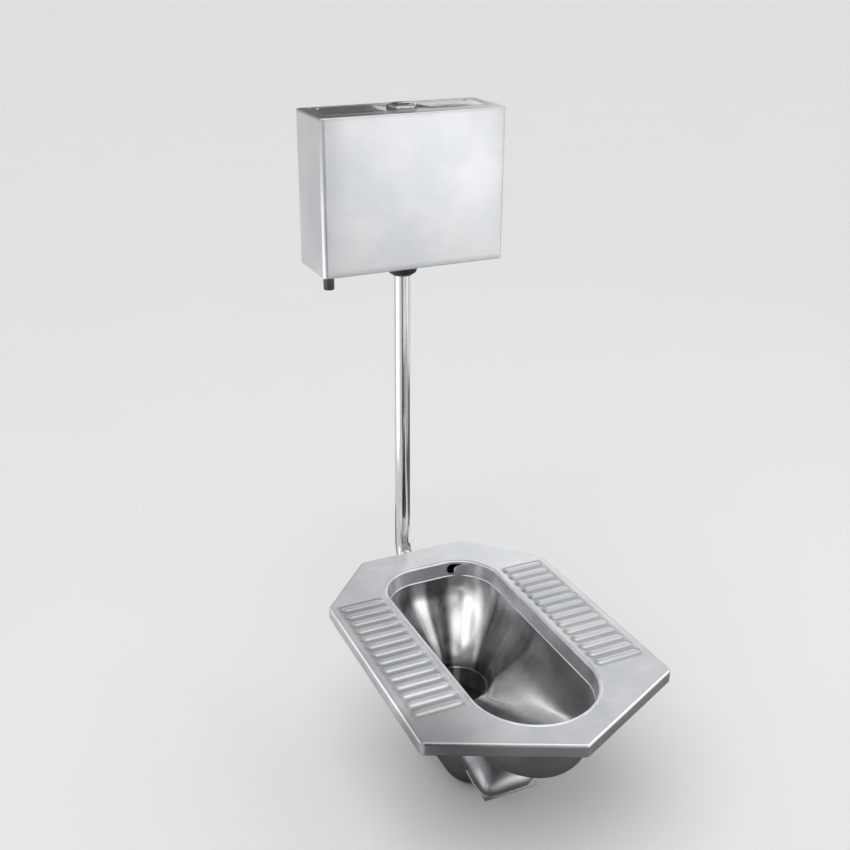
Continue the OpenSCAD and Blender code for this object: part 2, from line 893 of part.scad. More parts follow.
// A half-round key with its rod, for the right-hand side.
module key() {
    rod_low = rocker_z + boss_r + rod_gap - tank_h;
    intersection() {
        rotate_extrude($fn = 96)
            polygon([[0, cap_low], [key_r, cap_low], [key_r, cap_top - 2.2], [key_r - 0.9, cap_top - 0.8],
                [key_r - 3, cap_top], [0, cap_top]]);
        translate([key_gap / 2, -key_r - 1, cap_low - 1])
            cube([key_r + 2, 2 * key_r + 2, cap_top - cap_low + 2]);
    }
    translate([rod_x, rod_y, rod_low])
        cylinder(r = rod_r, h = cap_low - rod_low + 1, $fn = 24);
}

module full_key() {
    color(steel)
    on_lid()
        key();
}

module half_key() {
    color(steel)
    on_lid()
        rotate([0, 0, 180])
            key();
}

// A coil round the rod, skinned over small hexagons.
module key_spring() {
    turns = 5;
    coil = rod_r + 0.9;
    pitch = (cap_low - web_top - 1) / turns;
    translate([rod_x, rod_y, web_top + 0.5])
        skin([for (a = [0 : 30 : 360 * turns])
            [for (b = [0 : 60 : 300])
                let (r = coil + 0.42 * cos(b))
                [r * cos(a), r * sin(a), pitch * a / 360 - 0.42 * sin(b)]]]);
}

module full_spring() {
    color(steel)
    on_lid()
        key_spring();
}

module half_spring() {
    color(steel)
    on_lid()
        rotate([0, 0, 180])
            key_spring();
}

// ---- flush valve -------------------------------------------------------

washer_t = 4;
base_z = tank_t + washer_t;                 // underside of the valve's flange
flange_t = 5;
seat_z = base_z + flange_t + 4;             // the seat's edge
bore_r = 17;
seat_r = 24;
cage_r = 33;
rocker_t = 4;
pin_r = 1.5;

module valve_washer() {
    color(black)
    in_tank()
        translate([0, 0, tank_t])
            difference() {
                cylinder(r = 32, h = washer_t);
                translate([0, 0, -1])
                    cylinder(r = shank_r + fit_gap, h = washer_t + 2);
            }
}

module valve_base() {
    color(white)
    in_tank()
        rotate_extrude($fn = 96)
            polygon([[bore_r, -14], [shank_r, -14], [shank_r, base_z], [cage_r + 1, base_z],
                [cage_r + 1, base_z + flange_t], [seat_r + 2, base_z + flange_t],
                [seat_r, seat_z], [bore_r + 2, seat_z], [bore_r, seat_z - 3]]);
}

module valve_cage() {
    low = base_z + flange_t;
    inner = cage_r - 6;
    color(white)
    in_tank() {
        for (z = [low, cage_h - 4])
            translate([0, 0, z])
                difference() {
                    cylinder(r = cage_r, h = 4);
                    translate([0, 0, -1])
                        cylinder(r = inner, h = 6);
                }
        for (a = [0 : 90 : 270])
            rotate([0, 0, a])
                translate([inner + 0.5, -3, low + 2])
                    cube([5, 6, cage_h - low - 4]);
    }
}

// An ear that holds a rocker's pin.
module ear() {
    translate([pivot_x - 4, rod_y + rocker_t / 2 + 1, cage_h + 1])
        cube([8, 3, rocker_z - cage_h + 2.5]);
}

module valve_head() {
    color(white)
    in_tank()
        difference() {
            union() {
                translate([0, 0, cage_h])
                    cylinder(r = cage_r + 1, h = head_t);
                for (a = [0, 180])
                    rotate([0, 0, a])
                        ear();
            }
            translate([0, 0, cage_h - 1])
                cylinder(r = over_r + pin_gap, h = head_t + 2);
            translate([stem_x, -rod_y, cage_h - 1])
                cylinder(r = stem_r + pin_gap, h = head_t + 2, $fn = 24);
            pin_bores(pin_r + pin_gap, 30);
        }
}

// Both rocker pins as bores of a radius.
module pin_bores(r, length) {
    for (a = [0, 180])
        rotate([0, 0, a])
            translate([pivot_x, rod_y - rocker_t / 2 - 0.2, rocker_z])
                rotate([-90, 0, 0])
                    cylinder(r = r, h = length, $fn = 24);
}

module rocker_pins() {
    color(steel)
    in_tank() {
        pin_bores(pin_r, rocker_t + 4.6);
        for (a = [0, 180])
            rotate([0, 0, a])
                translate([pivot_x, rod_y - rocker_t / 2 - 1, rocker_z])
                    rotate([-90, 0, 0])
                        cylinder(r = pin_r + 0.8, h = 0.8, $fn = 24);
    }
}

// A two-armed rocker lying along X, its longer arm to the left.
module rocker() {
    translate([pivot_x, rod_y - rocker_t / 2, rocker_z])
        rotate([-90, 0, 0])
            difference() {
                union() {
                    cylinder(r = 3.6, h = rocker_t, $fn = 32);
                    for (x = [-arm_out, arm_in])
                        translate([x, 0, 0])
                            cylinder(r = boss_r, h = rocker_t, $fn = 32);
                    translate([-arm_out, -1.2, 0])
                        cube([arm_out + arm_in, 2.4, rocker_t]);
                }
                translate([0, 0, -1])
                    cylinder(r = pin_r + pin_gap, h = rocker_t + 2, $fn = 24);
            }
}

module full_rocker() {
    color(red)
    in_tank()
        rocker();
}

module half_rocker() {
    color(red)
    in_tank()
        rotate([0, 0, 180])
            rocker();
}

tab_z = rocker_z + boss_r + rod_gap;        // underside of what the rockers lift
tip_x = arm_out - pivot_x;

module overflow_tube() {
    color(white)
    in_tank() {
        rotate_extrude()
            polygon([[over_r - 1.5, seat_z], [over_r, seat_z], [over_r, seat_z + 3],
                [seat_r - 2, seat_z + 3], [seat_r - 2, seat_z + 5], [over_r, seat_z + 8],
                [over_r, tab_z], [over_r + 1.5, tab_z], [over_r + 1.5, tab_z + 3],
                [over_r, tab_z + 3], [over_r, over_h], [over_r - 1.5, over_h]]);
        difference() {
            translate([-tip_x - 4, 0, tab_z])
                cube([8, rod_y + 3, 3]);
            translate([0, 0, tab_z - 1])
                cylinder(r = over_r - 0.5, h = 5);
        }
    }
}

module flush_seal() {
    color(black)
    in_tank()
        translate([0, 0, seat_z])
            difference() {
                cylinder(r = seat_r - 1, h = 3);
                translate([0, 0, -1])
                    cylinder(r = over_r + fit_gap, h = 5);
            }
}

stem_x = tip_x + 6;
stem_r = 2;

module half_float() {
    low = seat_z + 48;
    high = low + 34;
    r = cage_r - 7.4;
    color(red)
    in_tank() {
        difference() {
            translate([0, 0, low])
                cylinder(r = r, h = high - low);
            translate([0, 0, low - 1])
                cylinder(r = over_r + pin_gap, h = high - low + 2);
        }
        translate([stem_x, -rod_y, high - 1])
            cylinder(r = stem_r, h = tab_z - high + 2, $fn = 24);
        translate([tip_x - 4, -rod_y - 3, tab_z])
            cube([stem_x - tip_x + 6, 6, 3]);
    }
}

module nut_washer() {
    color(black)
    in_tank()
        translate([0, 0, -3])
            difference() {
                cylinder(r = nut_r, h = 3);
                translate([0, 0, -1])
                    cylinder(r = shank_r + fit_gap, h = 5);
            }
}

module flush_nut() {
    color(black)
    in_tank()
        rotate_extrude($fn = 96)
            polygon([[shank_r + fit_gap, -3], [nut_r, -3], [nut_r, -16], [nut_r - 2, -nut_drop + 6],
                [pipe_r + 4, -nut_drop], [pipe_r + fit_gap, -nut_drop], [pipe_r + fit_gap, -19],
                [shank_r + fit_gap, -19]]);
}

module pipe_seal() {
    color(black)
    in_tank()
        translate([0, 0, -18.9])
            difference() {
                cylinder(r = shank_r - 0.4, h = 4.6);
                translate([0, 0, -1])
                    cylinder(r = pipe_r + pin_gap, h = 7);
            }
}

// ---- fill valve --------------------------------------------------------

tower_r = 12;
foot_r = 17;
nut_h = 10;
tower_h = 226;
cup_low = 120;
cup_high = 160;
fill_head_r = 18;
fill_head_h = 24;
arm_z = tower_h + fill_head_h + 8;
arm_pivot = -14;                            // the arm's pivot, from the tower's axis
arm_end = arm_pivot + float_arm_len;
arm_boss = 3;
arm_gap = 1;

module at_inlet() {
    translate([-inlet_x, pipe_y, tank_z])
        children();
}

module inlet_washer() {
    color(black)
    at_inlet()
        translate([0, 0, tank_t])
            difference() {
                cylinder(r = foot_r, h = 3);
                translate([0, 0, -1])
                    cylinder(r = inlet_grip + fit_gap, h = 5);
            }
}

module inlet_nut() {
    color(black)
    at_inlet()
        translate([0, 0, -nut_h])
            difference() {
                cylinder(r = foot_r - 1, h = nut_h, $fn = 6);
                translate([0, 0, -1])
                    cylinder(r = inlet_grip + fit_gap, h = nut_h + 2);
            }
}

module fill_valve() {
    low = tank_t + 3;
    color(white)
    at_inlet()
        rotate_extrude()
            polygon([[6, -inlet_len], [inlet_r, -inlet_len], [inlet_r, -nut_h - 0.5],
                [inlet_grip, -nut_h - 0.5], [inlet_grip, low], [foot_r, low], [foot_r, low + 4],
                [tower_r, low + 6], [tower_r, tower_h], [6, tower_h]]);
}

module fill_head() {
    color(white)
    at_inlet()
        difference() {
            union() {
                translate([0, 0, tower_h])
                    cylinder(r = fill_head_r, h = fill_head_h);
                for (y = [-7.4, 4.4])
                    translate([arm_pivot - 3, y, tower_h + fill_head_h - 1])
                        cube([6, 3, arm_z - tower_h - fill_head_h + 5]);
            }
            translate([0, 0, tower_h - 1])
                cylinder(r = 6, h = fill_head_h - 6);
            arm_pin_at(pin_r + pin_gap, 20);
        }
}

module arm_pin_at(r, length) {
    translate([arm_pivot, -length / 2, arm_z])
        rotate([-90, 0, 0])
            cylinder(r = r, h = length, $fn = 24);
}

module arm_pin() {
    color(steel)
    at_inlet()
        arm_pin_at(pin_r, 16);
}

module float_arm() {
    color(white)
    at_inlet()
        difference() {
            union() {
                arm_pin_at(4, 8);
                translate([arm_pivot, -4, arm_z - 1.5])
                    cube([float_arm_len, 8, 3]);
                translate([float_arm_len, 0, 0])
                    arm_pin_at(arm_boss, 8);
            }
            arm_pin_at(pin_r + pin_gap, 20);
        }
}

module float_cup() {
    rod_top = arm_z - arm_boss - arm_gap;
    color(white)
    at_inlet() {
        difference() {
            translate([0, 0, cup_low])
                cylinder(r = float_r, h = cup_high - cup_low);
            translate([0, 0, cup_low - 1])
                cylinder(r = tower_r + pin_gap, h = cup_high - cup_low + 2);
        }
        translate([arm_end, 0, cup_high - 1])
            cylinder(r = 2.5, h = rod_top - cup_high + 1, $fn = 24);
    }
}

// ---- nodes -------------------------------------------------------------

pan_deck();
rim_neck();
bowl();
drain_tube();
water_cup();
trap_baffle();
outlet_dome();
outlet_plate();
outlet_spigot();
anchor_lugs();
flush_chest();
inlet_socket();
inlet_sleeve();
flush_pipe();
pipe_seal();
flush_nut();
nut_washer();
tank_body();
back_plate();
tank_lid();
lid_screws();
button_ring();
ring_nut();
full_key();
half_key();
full_spring();
half_spring();
valve_washer();
valve_base();
valve_cage();
valve_head();
overflow_tube();
flush_seal();
full_rocker();
half_rocker();
rocker_pins();
half_float();
inlet_washer();
inlet_nut();
fill_valve();
fill_head();
float_cup();
float_arm();
arm_pin();
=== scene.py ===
import json
from math import acos, cos, hypot, pi, radians, sin, sqrt, tan
import bmesh
import bpy
from mathutils import Matrix, Vector


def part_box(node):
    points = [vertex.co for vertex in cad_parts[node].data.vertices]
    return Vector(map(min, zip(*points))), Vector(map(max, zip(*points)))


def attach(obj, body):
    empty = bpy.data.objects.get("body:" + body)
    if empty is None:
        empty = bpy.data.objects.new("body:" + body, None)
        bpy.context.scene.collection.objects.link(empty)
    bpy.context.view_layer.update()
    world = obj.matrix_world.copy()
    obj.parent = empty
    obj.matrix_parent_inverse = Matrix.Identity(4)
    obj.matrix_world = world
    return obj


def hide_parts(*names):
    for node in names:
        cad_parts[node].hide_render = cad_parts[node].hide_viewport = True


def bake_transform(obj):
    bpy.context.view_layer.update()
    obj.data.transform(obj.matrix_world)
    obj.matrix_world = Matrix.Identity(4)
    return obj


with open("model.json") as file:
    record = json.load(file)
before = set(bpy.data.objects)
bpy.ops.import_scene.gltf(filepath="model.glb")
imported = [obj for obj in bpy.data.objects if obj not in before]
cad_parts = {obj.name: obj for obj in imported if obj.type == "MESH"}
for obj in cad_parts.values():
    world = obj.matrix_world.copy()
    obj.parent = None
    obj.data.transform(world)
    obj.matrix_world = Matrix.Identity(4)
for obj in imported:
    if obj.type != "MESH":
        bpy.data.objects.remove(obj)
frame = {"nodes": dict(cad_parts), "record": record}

mm = 0.001
scene = bpy.context.scene
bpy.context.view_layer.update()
print("frame loaded:", len(frame["nodes"]), "solids")

# ---- camera and lamps, in metres

view = {
    "place": (-0.90706, -1.58789, 1.55318),
    "yaw": 0.437399, "pitch": 0.413010, "roll": 0.00670763,
    "lens": 49.75, "sensor": 36.0,
}


def placeCamera():
    yaw, pitch, roll = view["yaw"], view["pitch"], view["roll"]
    ahead = Vector((sin(yaw) * cos(pitch), cos(yaw) * cos(pitch), -sin(pitch)))
    across = Vector((cos(yaw), -sin(yaw), 0))
    above = across.cross(ahead)
    right = cos(roll) * across + sin(roll) * above
    up = cos(roll) * above - sin(roll) * across
    data = bpy.data.cameras.new("camera")
    data.sensor_width = view["sensor"]
    data.lens = view["lens"]
    camera = bpy.data.objects.new("camera", data)
    scene.collection.objects.link(camera)
    turn = Matrix((right, up, -ahead)).transposed().to_4x4()
    camera.matrix_world = Matrix.Translation(view["place"]) @ turn
    scene.camera = camera


placeCamera()

studio = {
    # the air's tone by the height of the direction, 0 at the horizon and 1 straight up, and how much brighter
    # it is on the right
    "air": ((0.0, 0.12), (0.22, 0.17), (0.46, 1.05), (0.61, 0.52), (0.84, 0.50), (1.0, 0.62)),
    "side": {"from": 0.28, "to": 0.54, "least": 0.82, "more": 0.34},
    "floorLow": -0.0665, "floorSize": 60.0, "floorTone": (0.86, 0.86, 0.855),
    "wall": {"far": 29.0, "high": 16.0, "around": 64, "tone": 0.75},
    "sun": {"strength": 1.27, "angle": 50, "from": (-0.35, -0.25, 1.0)},
    # place, size across and up, watts, aimed at, and whether the steel alone sees it
    "lamps": {
        "softboxLeft": ((-2.3, -1.4, 2.5), (1.3, 1.9), 9, (0, 0.1, 0.7), "both"),
        "softboxRight": ((2.4, -0.4, 1.7), (0.6, 2.2), 6, (0, 0.3, 0.8), "both"),
        "panelLeft": ((-0.92, 0.54, 0.50), (1.0, 0.9), 2.9, (0, 0.46, 0.45), "steel"),
        "panelRight": ((0.75, -0.45, 0.47), (1.5, 1.0), 2.0, (0, 0.46, 0.47), "steel"),
        "panelFront": ((1.22, -2.0, 0.86), (0.85, 0.62), 2.6, (0.05, 0.4, 1.1), "steel"),
        "panelRear": ((1.6, 2.9, 1.60), (1.1, 0.30), 2.0, (0.1, 0.46, 1.2), "steel"),
        "panelUnder": ((0.42, 0.57, -0.05), (0.6, 0.4), 1.1, (0.42, 0.57, 1.0), "steel"),
        "panelOver": ((0.1, -0.6, 2.2), (2.0, 2.0), 10.5, (0, -0.6, 0.25), "steel"),
    },
    # cards that only show mirrored in the steel: middle, half across, half along, tone
    "boards": {
        "boardMiddle": ((-0.485, -0.635, 0.43), (0.128, -0.057, 0), (0, 0, 0.5), 0.03),
        "boardFloor": ((0.72, -0.2, -0.0655), (1.17, 0, 0), (0, 1.5, 0), 0.12),
        "boardFront": ((1.2, -2.0, 0.15), (0.7, 0, 0), (0, 0, 0.19), 0.45),
        "boardBack": ((0.24, 1.3, 1.93), (0.38, 0, 0), (0, 0, 0.42), 0.03),
        "boardTop": ((-0.17, 1.3, 1.30), (0.16, 0, 0), (0, 0, 0.08), 0.03),
    },
}


def placeLamps():
    for name, (place, size, watts, aim, seen) in studio["lamps"].items():
        data = bpy.data.lights.new(name, "AREA")
        data.shape = "RECTANGLE"
        data.size, data.size_y = size
        data.energy = watts
        lamp = bpy.data.objects.new(name, data)
        scene.collection.objects.link(lamp)
        lamp.location = place
        lamp.rotation_euler = (Vector(aim) - Vector(place)).to_track_quat("-Z", "Y").to_euler()
        lamp.visible_camera = False
        lamp.visible_diffuse = seen != "steel"


def placeSun():
    data = bpy.data.lights.new("sun", "SUN")
    data.energy = studio["sun"]["strength"]
    data.angle = radians(studio["sun"]["angle"])
    sun = bpy.data.objects.new("sun", data)
    scene.collection.objects.link(sun)
    sun.rotation_euler = Vector(studio["sun"]["from"]).to_track_quat("Z", "Y").to_euler()
    sun.visible_glossy = False                # it lights the floor alone


placeLamps()
placeSun()
scene.view_settings.view_transform = "Standard"
print("camera and lamps placed")

# ---- shader maths


class Wire:                                   # a socket that is used in plain sums
    def __init__(self, tree, socket):
        self.tree, self.socket = tree, socket

    def node(self, kind, settings, sockets, out=0):
        made = self.tree.nodes.new(kind)
        for name, value in settings.items():
            if name == "stops":
                ramp = made.color_ramp
                for k, (at, tone) in enumerate(value):
                    stop = ramp.elements[k] if k < 2 else ramp.elements.new(at)
                    stop.position, stop.color = at, (tone, tone, tone, 1)
            else:
                setattr(made, name, value)
        for name, value in sockets.items():
            if isinstance(value, Wire):
                self.tree.links.new(value.socket, made.inputs[name])
            else:
                made.inputs[name].default_value = value
        return Wire(self.tree, made.outputs[out])

    def sums(self, how, first, second):
        return self.node("ShaderNodeMath", {"operation": how}, {0: first, 1: second})

    def __add__(self, other):
        return self.sums("ADD", self, other)

    def __radd__(self, other):
        return self.sums("ADD", other, self)

    def __sub__(self, other):
        return self.sums("SUBTRACT", self, other)

    def __rsub__(self, other):
        return self.sums("SUBTRACT", other, self)

    def __mul__(self, other):
        return self.sums("MULTIPLY", self, other)

    def __rmul__(self, other):
        return self.sums("MULTIPLY", other, self)

    def between(self, low, high):             # 0 below low, 1 above high, smooth in between
        return self.node("ShaderNodeMapRange", {"interpolation_type": "SMOOTHSTEP"},
                         {"Value": self, "From Min": low, "From Max": high})

    def scaled(self, share):                  # a colour times a number
        return self.node("ShaderNodeVectorMath", {"operation": "SCALE"}, {0: self, "Scale": share})

    def mixed(self, dark, light):             # a colour from one to the other
        return self.node("ShaderNodeMix", {"data_type": "RGBA"}, {0: self, 6: dark, 7: light}, 2)


class Finish:                                 # a material whose sockets are set once or fed by wires
    def __init__(self, name, **fixed):
        self.material = bpy.data.materials.new(name)
        self.material.use_nodes = True
        self.tree = self.material.node_tree
        self.skin = self.tree.nodes["Principled BSDF"]
        for socket, value in fixed.items():
            self.skin.inputs[socket.replace("_", " ")].default_value = value
        self.any = Wire(self.tree, None)
        self.place = self.any.node("ShaderNodeTexCoord", {}, {}, 3)

    def stretched(self, scale):
        return self.any.node("ShaderNodeVectorMath", {"operation": "MULTIPLY"}, {0: self.place, 1: scale})

    def noise(self, scale, detail=3.0, rough=0.5, squeeze=(1, 1, 1)):
        return self.any.node("ShaderNodeTexNoise", {}, {
            "Vector": self.stretched(squeeze), "Scale": scale, "Detail": detail, "Roughness": rough})

    def axis(self, which):
        return self.any.node("ShaderNodeSeparateXYZ", {}, {"Vector": self.place}, "XYZ".index(which))

    def feed(self, socket, wire):
        self.tree.links.new(wire.socket, self.skin.inputs[socket])

    def bump(self, height, distance, strength):
        self.feed("Normal", self.any.node("ShaderNodeBump", {}, {
            "Height": height, "Distance": distance, "Strength": strength}))


def grey(level, warm=0.0):
    return (level * (1 + warm), level, level * (1 - warm), 1)


# dark and light tone, mean and spread of roughness, size of the cloudy patches, the grain's stretch and depth
steelLooks = {
    "deckSteel": {
        "tones": (0.72, 0.90), "rough": 0.34, "spread": 0.12, "cloud": 9,
        "grain": (30, 700, 700), "depth": 0.10,
        # painted shade in the treads' gaps, darker than their crests: the crests' heights, then where the
        # zone starts, is full, lessens and ends, out from the middle and along the pan
        "gaps": {"crest": (0.2982, 0.3000), "out": (0.130, 0.140, 0.222, 0.238),
                 "along": (-0.118, -0.108, 0.262, 0.272), "less": 0.34},
        # painted shade: darker towards the front left corner, where the zone ends along the pan and across it
        "frontLeftShade": {"along": (-0.13, -0.05), "across": (-0.23, -0.06), "less": 0.45},
    },
    "neckSteel": {
        "tones": (0.66, 0.90), "rough": 0.24, "spread": 0.12, "cloud": 16,
        "grain": (60, 60, 900), "depth": 0.16, "metal": 0.65,
    },
    "bowlSteel": {
        "tones": (0.04, 1.0), "rough": 0.25, "spread": 0.12, "cloud": 14,
        "grain": (160, 160, 12), "depth": 0.04, "metal": 0.88,
        # the painted reflection bands' centre, and a painted lighter zone towards the rim: where it starts
        # and is full, and how much
        "centre": (0, 0.187), "rim": (0.225, 0.262, 0.3),
        # painted reflections: light bands round the drain, in degrees from the rear: start, full, less, end
        # and weight
        "bands": ((-75, -60, -38, -26, 0.42), (-18, -10, -7, 0, 1.0), (10, 25, 54, 67, 1.05),
                  (62, 70, 118, 134, 0.22), (128, 146, 158, 171, 0.85), (184, 196, 230, 250, 0.45)),
    },
    "drainSteel": {
        "tones": (0.08, 0.62), "rough": 0.30, "spread": 0.10, "cloud": 20,
        "grain": (160, 160, 12), "depth": 0.12, "metal": 0.3,
        # painted reflection: light streaks down the drain's inside, by angle round the drain
        "centre": (0, 0.187), "bands": ((18, 23, 28, 35, 1.0), (-44, -30, -10, 4, 0.3)),
    },
    "shellSteel": {
        "tones": (0.44, 0.60), "rough": 0.34, "spread": 0.14, "cloud": 14,
        "grain": (200, 200, 200), "depth": 0.12,
    },
    "trapSteel": {
        "tones": (0.42, 0.56), "rough": 0.40, "spread": 0.08, "cloud": 10,
        "grain": (200, 200, 200), "depth": 0.06,
    },
    "tankSteel": {
        "tones": (0.60, 0.74), "rough": 0.33, "spread": 0.14, "cloud": 7,
        "grain": (26, 500, 500), "depth": 0.10,
    },
    "frameSteel": {
        "tones": (0.50, 0.66), "rough": 0.27, "spread": 0.12, "cloud": 9,
        "grain": (26, 700, 700), "depth": 0.32,
    },
    "fittingSteel": {
        "tones": (0.40, 0.58), "rough": 0.33, "spread": 0.16, "cloud": 24,
        "grain": (300, 300, 300), "depth": 0.32,
    },
    "weldSteel": {
        "tones": (0.20, 0.40), "rough": 0.34, "spread": 0.22, "cloud": 120,
        "grain": (500, 500, 500), "depth": 0.80,
    },
}
# the shares of patches, smears and grain in the tone, the tones told apart, and the grain's height in metres
steelMix = {"cloud": 0.55, "smear": 0.25, "grain": 0.20, "from": 0.30, "to": 0.70, "height": 0.00004}
# how the painted reflection bands wander: noise cells round, out and up, drift in radians, unevenness, and
# share of the tone
reflectionBandDrift = {"turn": 5, "out": 6, "up": 4, "drift": 0.16, "uneven": 0.55, "share": 0.84}


# painted reflections: light bands round the drain, and a lighter zone towards the rim
def paintedReflectionBands(finish, look):                # they follow the sheet's lines down to the drain
    x, y, z = (finish.axis(which) for which in "XYZ")
    x, y = x - look["centre"][0], y - look["centre"][1]
    turn = x.sums("ARCTAN2", x, y)
    far = x.sums("SQRT", x * x + y * y, 0)
    path = turn.node("ShaderNodeCombineXYZ", {}, {
        "X": turn * reflectionBandDrift["turn"], "Y": far * reflectionBandDrift["out"], "Z": z * reflectionBandDrift["up"]})
    wander = turn.node("ShaderNodeTexNoise", {}, {"Vector": path, "Scale": 1.0, "Detail": 3.0})
    turn = turn + reflectionBandDrift["drift"] * (wander - 0.5)
    total = reflectionBandDrift["uneven"] * (wander - 0.5)
    for start, full, less, end, weight in look["bands"]:
        rise = turn.between(radians(start), radians(full))
        total = total + weight * rise * (1 - turn.between(radians(less), radians(end)))
    # painted reflection: lighter towards the bowl's rim
    if "rim" in look:
        low, high, more = look["rim"]
        total = total + more * z.between(low, high)
    return total


# painted shade between the treads: this mask is 1 in the flat gaps
def treadGapShade(finish, gaps):                   # 1 in the flat gaps between the treads
    x, y, z = (finish.axis(which) for which in "XYZ")
    mask = 1 - z.between(*gaps["crest"])
    for value, (start, full, less, end) in ((x.sums("ABSOLUTE", x, 0), gaps["out"]), (y, gaps["along"])):
        mask = mask * value.between(start, full) * (1 - value.between(less, end))
    return mask


def steel(name):
    look = steelLooks[name]
    finish = Finish(name, Metallic=look.get("metal", 1.0))
    dark, light = look["tones"]
    cloud = finish.noise(look["cloud"], 4, 0.55)
    smear = finish.noise(look["cloud"] * 2.6, 5, 0.6, (0.35, 1.2, 1.2))
    grain = finish.noise(1, 2, 0.6, look["grain"])
    tone = steelMix["cloud"] * cloud + steelMix["smear"] * smear + steelMix["grain"] * grain
    share = tone.between(steelMix["from"], steelMix["to"])
    # painted reflection bands mixed into the tone
    if "bands" in look:
        share = (1 - reflectionBandDrift["share"]) * share + reflectionBandDrift["share"] * paintedReflectionBands(finish, look)
    colour = share.mixed(grey(dark, -0.05), grey(light, -0.01))
    # painted shade in the treads' gaps
    if "gaps" in look:
        colour = colour.scaled(1 - look["gaps"]["less"] * treadGapShade(finish, look["gaps"]))
    # painted shade towards the front left corner of the deck
    if "frontLeftShade" in look:
        frontLeftShade = look["frontLeftShade"]
        front, left = finish.axis("Y").between(*frontLeftShade["along"]), finish.axis("X").between(*frontLeftShade["across"])
        colour = colour.scaled(1 - frontLeftShade["less"] * ((1 - front) * (1 - left)))
    finish.feed("Base Color", colour)
    finish.feed("Roughness", look["rough"] + look["spread"] * (0.6 * smear + 0.4 * grain - 0.5))
    finish.bump(grain, steelMix["height"], look["depth"])
    return finish.material


def chrome(name, tone, rough):
    finish = Finish(name, Metallic=1.0)
    haze = finish.noise(60, 4, 0.6)
    wipe = finish.noise(1, 3, 0.6, (220, 220, 14))
    finish.feed("Base Color", haze.between(0.3, 0.7).mixed(grey(tone - 0.06), grey(tone)))
    finish.feed("Roughness", rough + 0.09 * wipe.between(0.45, 0.8) + 0.03 * haze)
    return finish.material


def plastic(name, dark, light, rough, pebble):
    finish = Finish(name, Metallic=0.0, Specular_IOR_Level=0.45)
    cloud = finish.noise(45, 4, 0.6)
    skin = finish.noise(pebble, 3, 0.6)
    finish.feed("Base Color", cloud.between(0.3, 0.7).mixed((*dark, 1), (*light, 1)))
    finish.feed("Roughness", rough + 0.16 * (skin - 0.5))
    finish.bump(skin, 0.0001, 0.25)
    return finish.material


chromes = {"pipeChrome": (0.70, 0.09), "buttonChrome": (0.50, 0.10)}    # tone and roughness
plastics = {                                  # dark and light colour, roughness, fineness of the skin
    "blackPlastic": ((0.012, 0.012, 0.013), (0.022, 0.022, 0.023), 0.42, 900),
    "blackRubber": ((0.010, 0.010, 0.010), (0.020, 0.020, 0.019), 0.72, 1600),
    "inletPlastic": ((0.035, 0.036, 0.038), (0.075, 0.076, 0.08), 0.34, 900),
    "whitePlastic": ((0.62, 0.62, 0.60), (0.72, 0.72, 0.70), 0.38, 900),
    "redPlastic": ((0.40, 0.035, 0.028), (0.52, 0.05, 0.04), 0.36, 900),
}
finishes = {name: steel(name) for name in steelLooks}
finishes.update({name: chrome(name, *look) for name, look in chromes.items()})
finishes.update({name: plastic(name, *look) for name, look in plastics.items()})
print("finishes made:", len(finishes))


def lightWorld():                             # dim at the horizon, a pale band half way up
    world = bpy.data.worlds.new("studio")
    world.use_nodes = True
    scene.world = world
    air = Wire(world.node_tree, None)
    way = air.node("ShaderNodeTexCoord", {}, {}, 0)
    across = air.node("ShaderNodeSeparateXYZ", {}, {"Vector": way}, 0)
    high = air.node("ShaderNodeSeparateXYZ", {}, {"Vector": way}, 2)
    tone = air.node("ShaderNodeValToRGB", {"stops": studio["air"]}, {"Fac": high})
    side = studio["side"]
    strength = side["least"] + side["more"] * across.between(side["from"], side["to"])
    sky = world.node_tree.nodes["Background"]
    world.node_tree.links.new(tone.socket, sky.inputs["Color"])
    world.node_tree.links.new(strength.socket, sky.inputs["Strength"])


lightWorld()

# ---- mesh helpers, in millimetres


def addPiece(name, verts, faces, body, slot, finish, nodes=(), crease=40):
    data = bpy.data.meshes.new(name)
    data.from_pydata([Vector(v) * mm for v in verts], [], faces)
    data.validate()
    shade(data, crease)
    return dressPiece(name, data, body, finish, nodes)


def shade(data, crease):
    data.polygons.foreach_set("use_smooth", [True] * len(data.polygons))
    data.set_sharp_from_angle(angle=radians(crease))


def dressPiece(name, data, body, finish, nodes=()):
    obj = bpy.data.objects.new(name, data)
    scene.collection.objects.link(obj)
    data.materials.clear()
    data.materials.append(finishes[finish])
    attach(obj, body)
    if nodes:
        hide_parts(*nodes)
    return obj


def settle(obj, crease=40):                   # modifiers become mesh
    settled = bpy.data.meshes.new_from_object(obj.evaluated_get(bpy.context.evaluated_depsgraph_get()))
    obj.modifiers.clear()
    obj.data = settled
    shade(settled, crease)
    return obj


def thicken(obj, thickness, crease=40, inner=0):
    made = obj.modifiers.new("sheet", "SOLIDIFY")
    made.thickness = thickness * mm
    made.material_offset = inner
    made.offset = -1
    made.use_even_offset = True
    return settle(obj, crease)


def cut(obj, tools, crease=40):
    for tool in tools:
        made = obj.modifiers.new("cut", "BOOLEAN")
        made.operation = "DIFFERENCE"
        made.solver = "EXACT"
        made.object = tool
    settle(obj, crease)
    for tool in tools:
        bpy.data.objects.remove(tool)
    return obj


def faceOut(data):
    bm = bmesh.new()
    bm.from_mesh(data)
    bmesh.ops.recalc_face_normals(bm, faces=bm.faces)
    bm.to_mesh(data)
    bm.free()


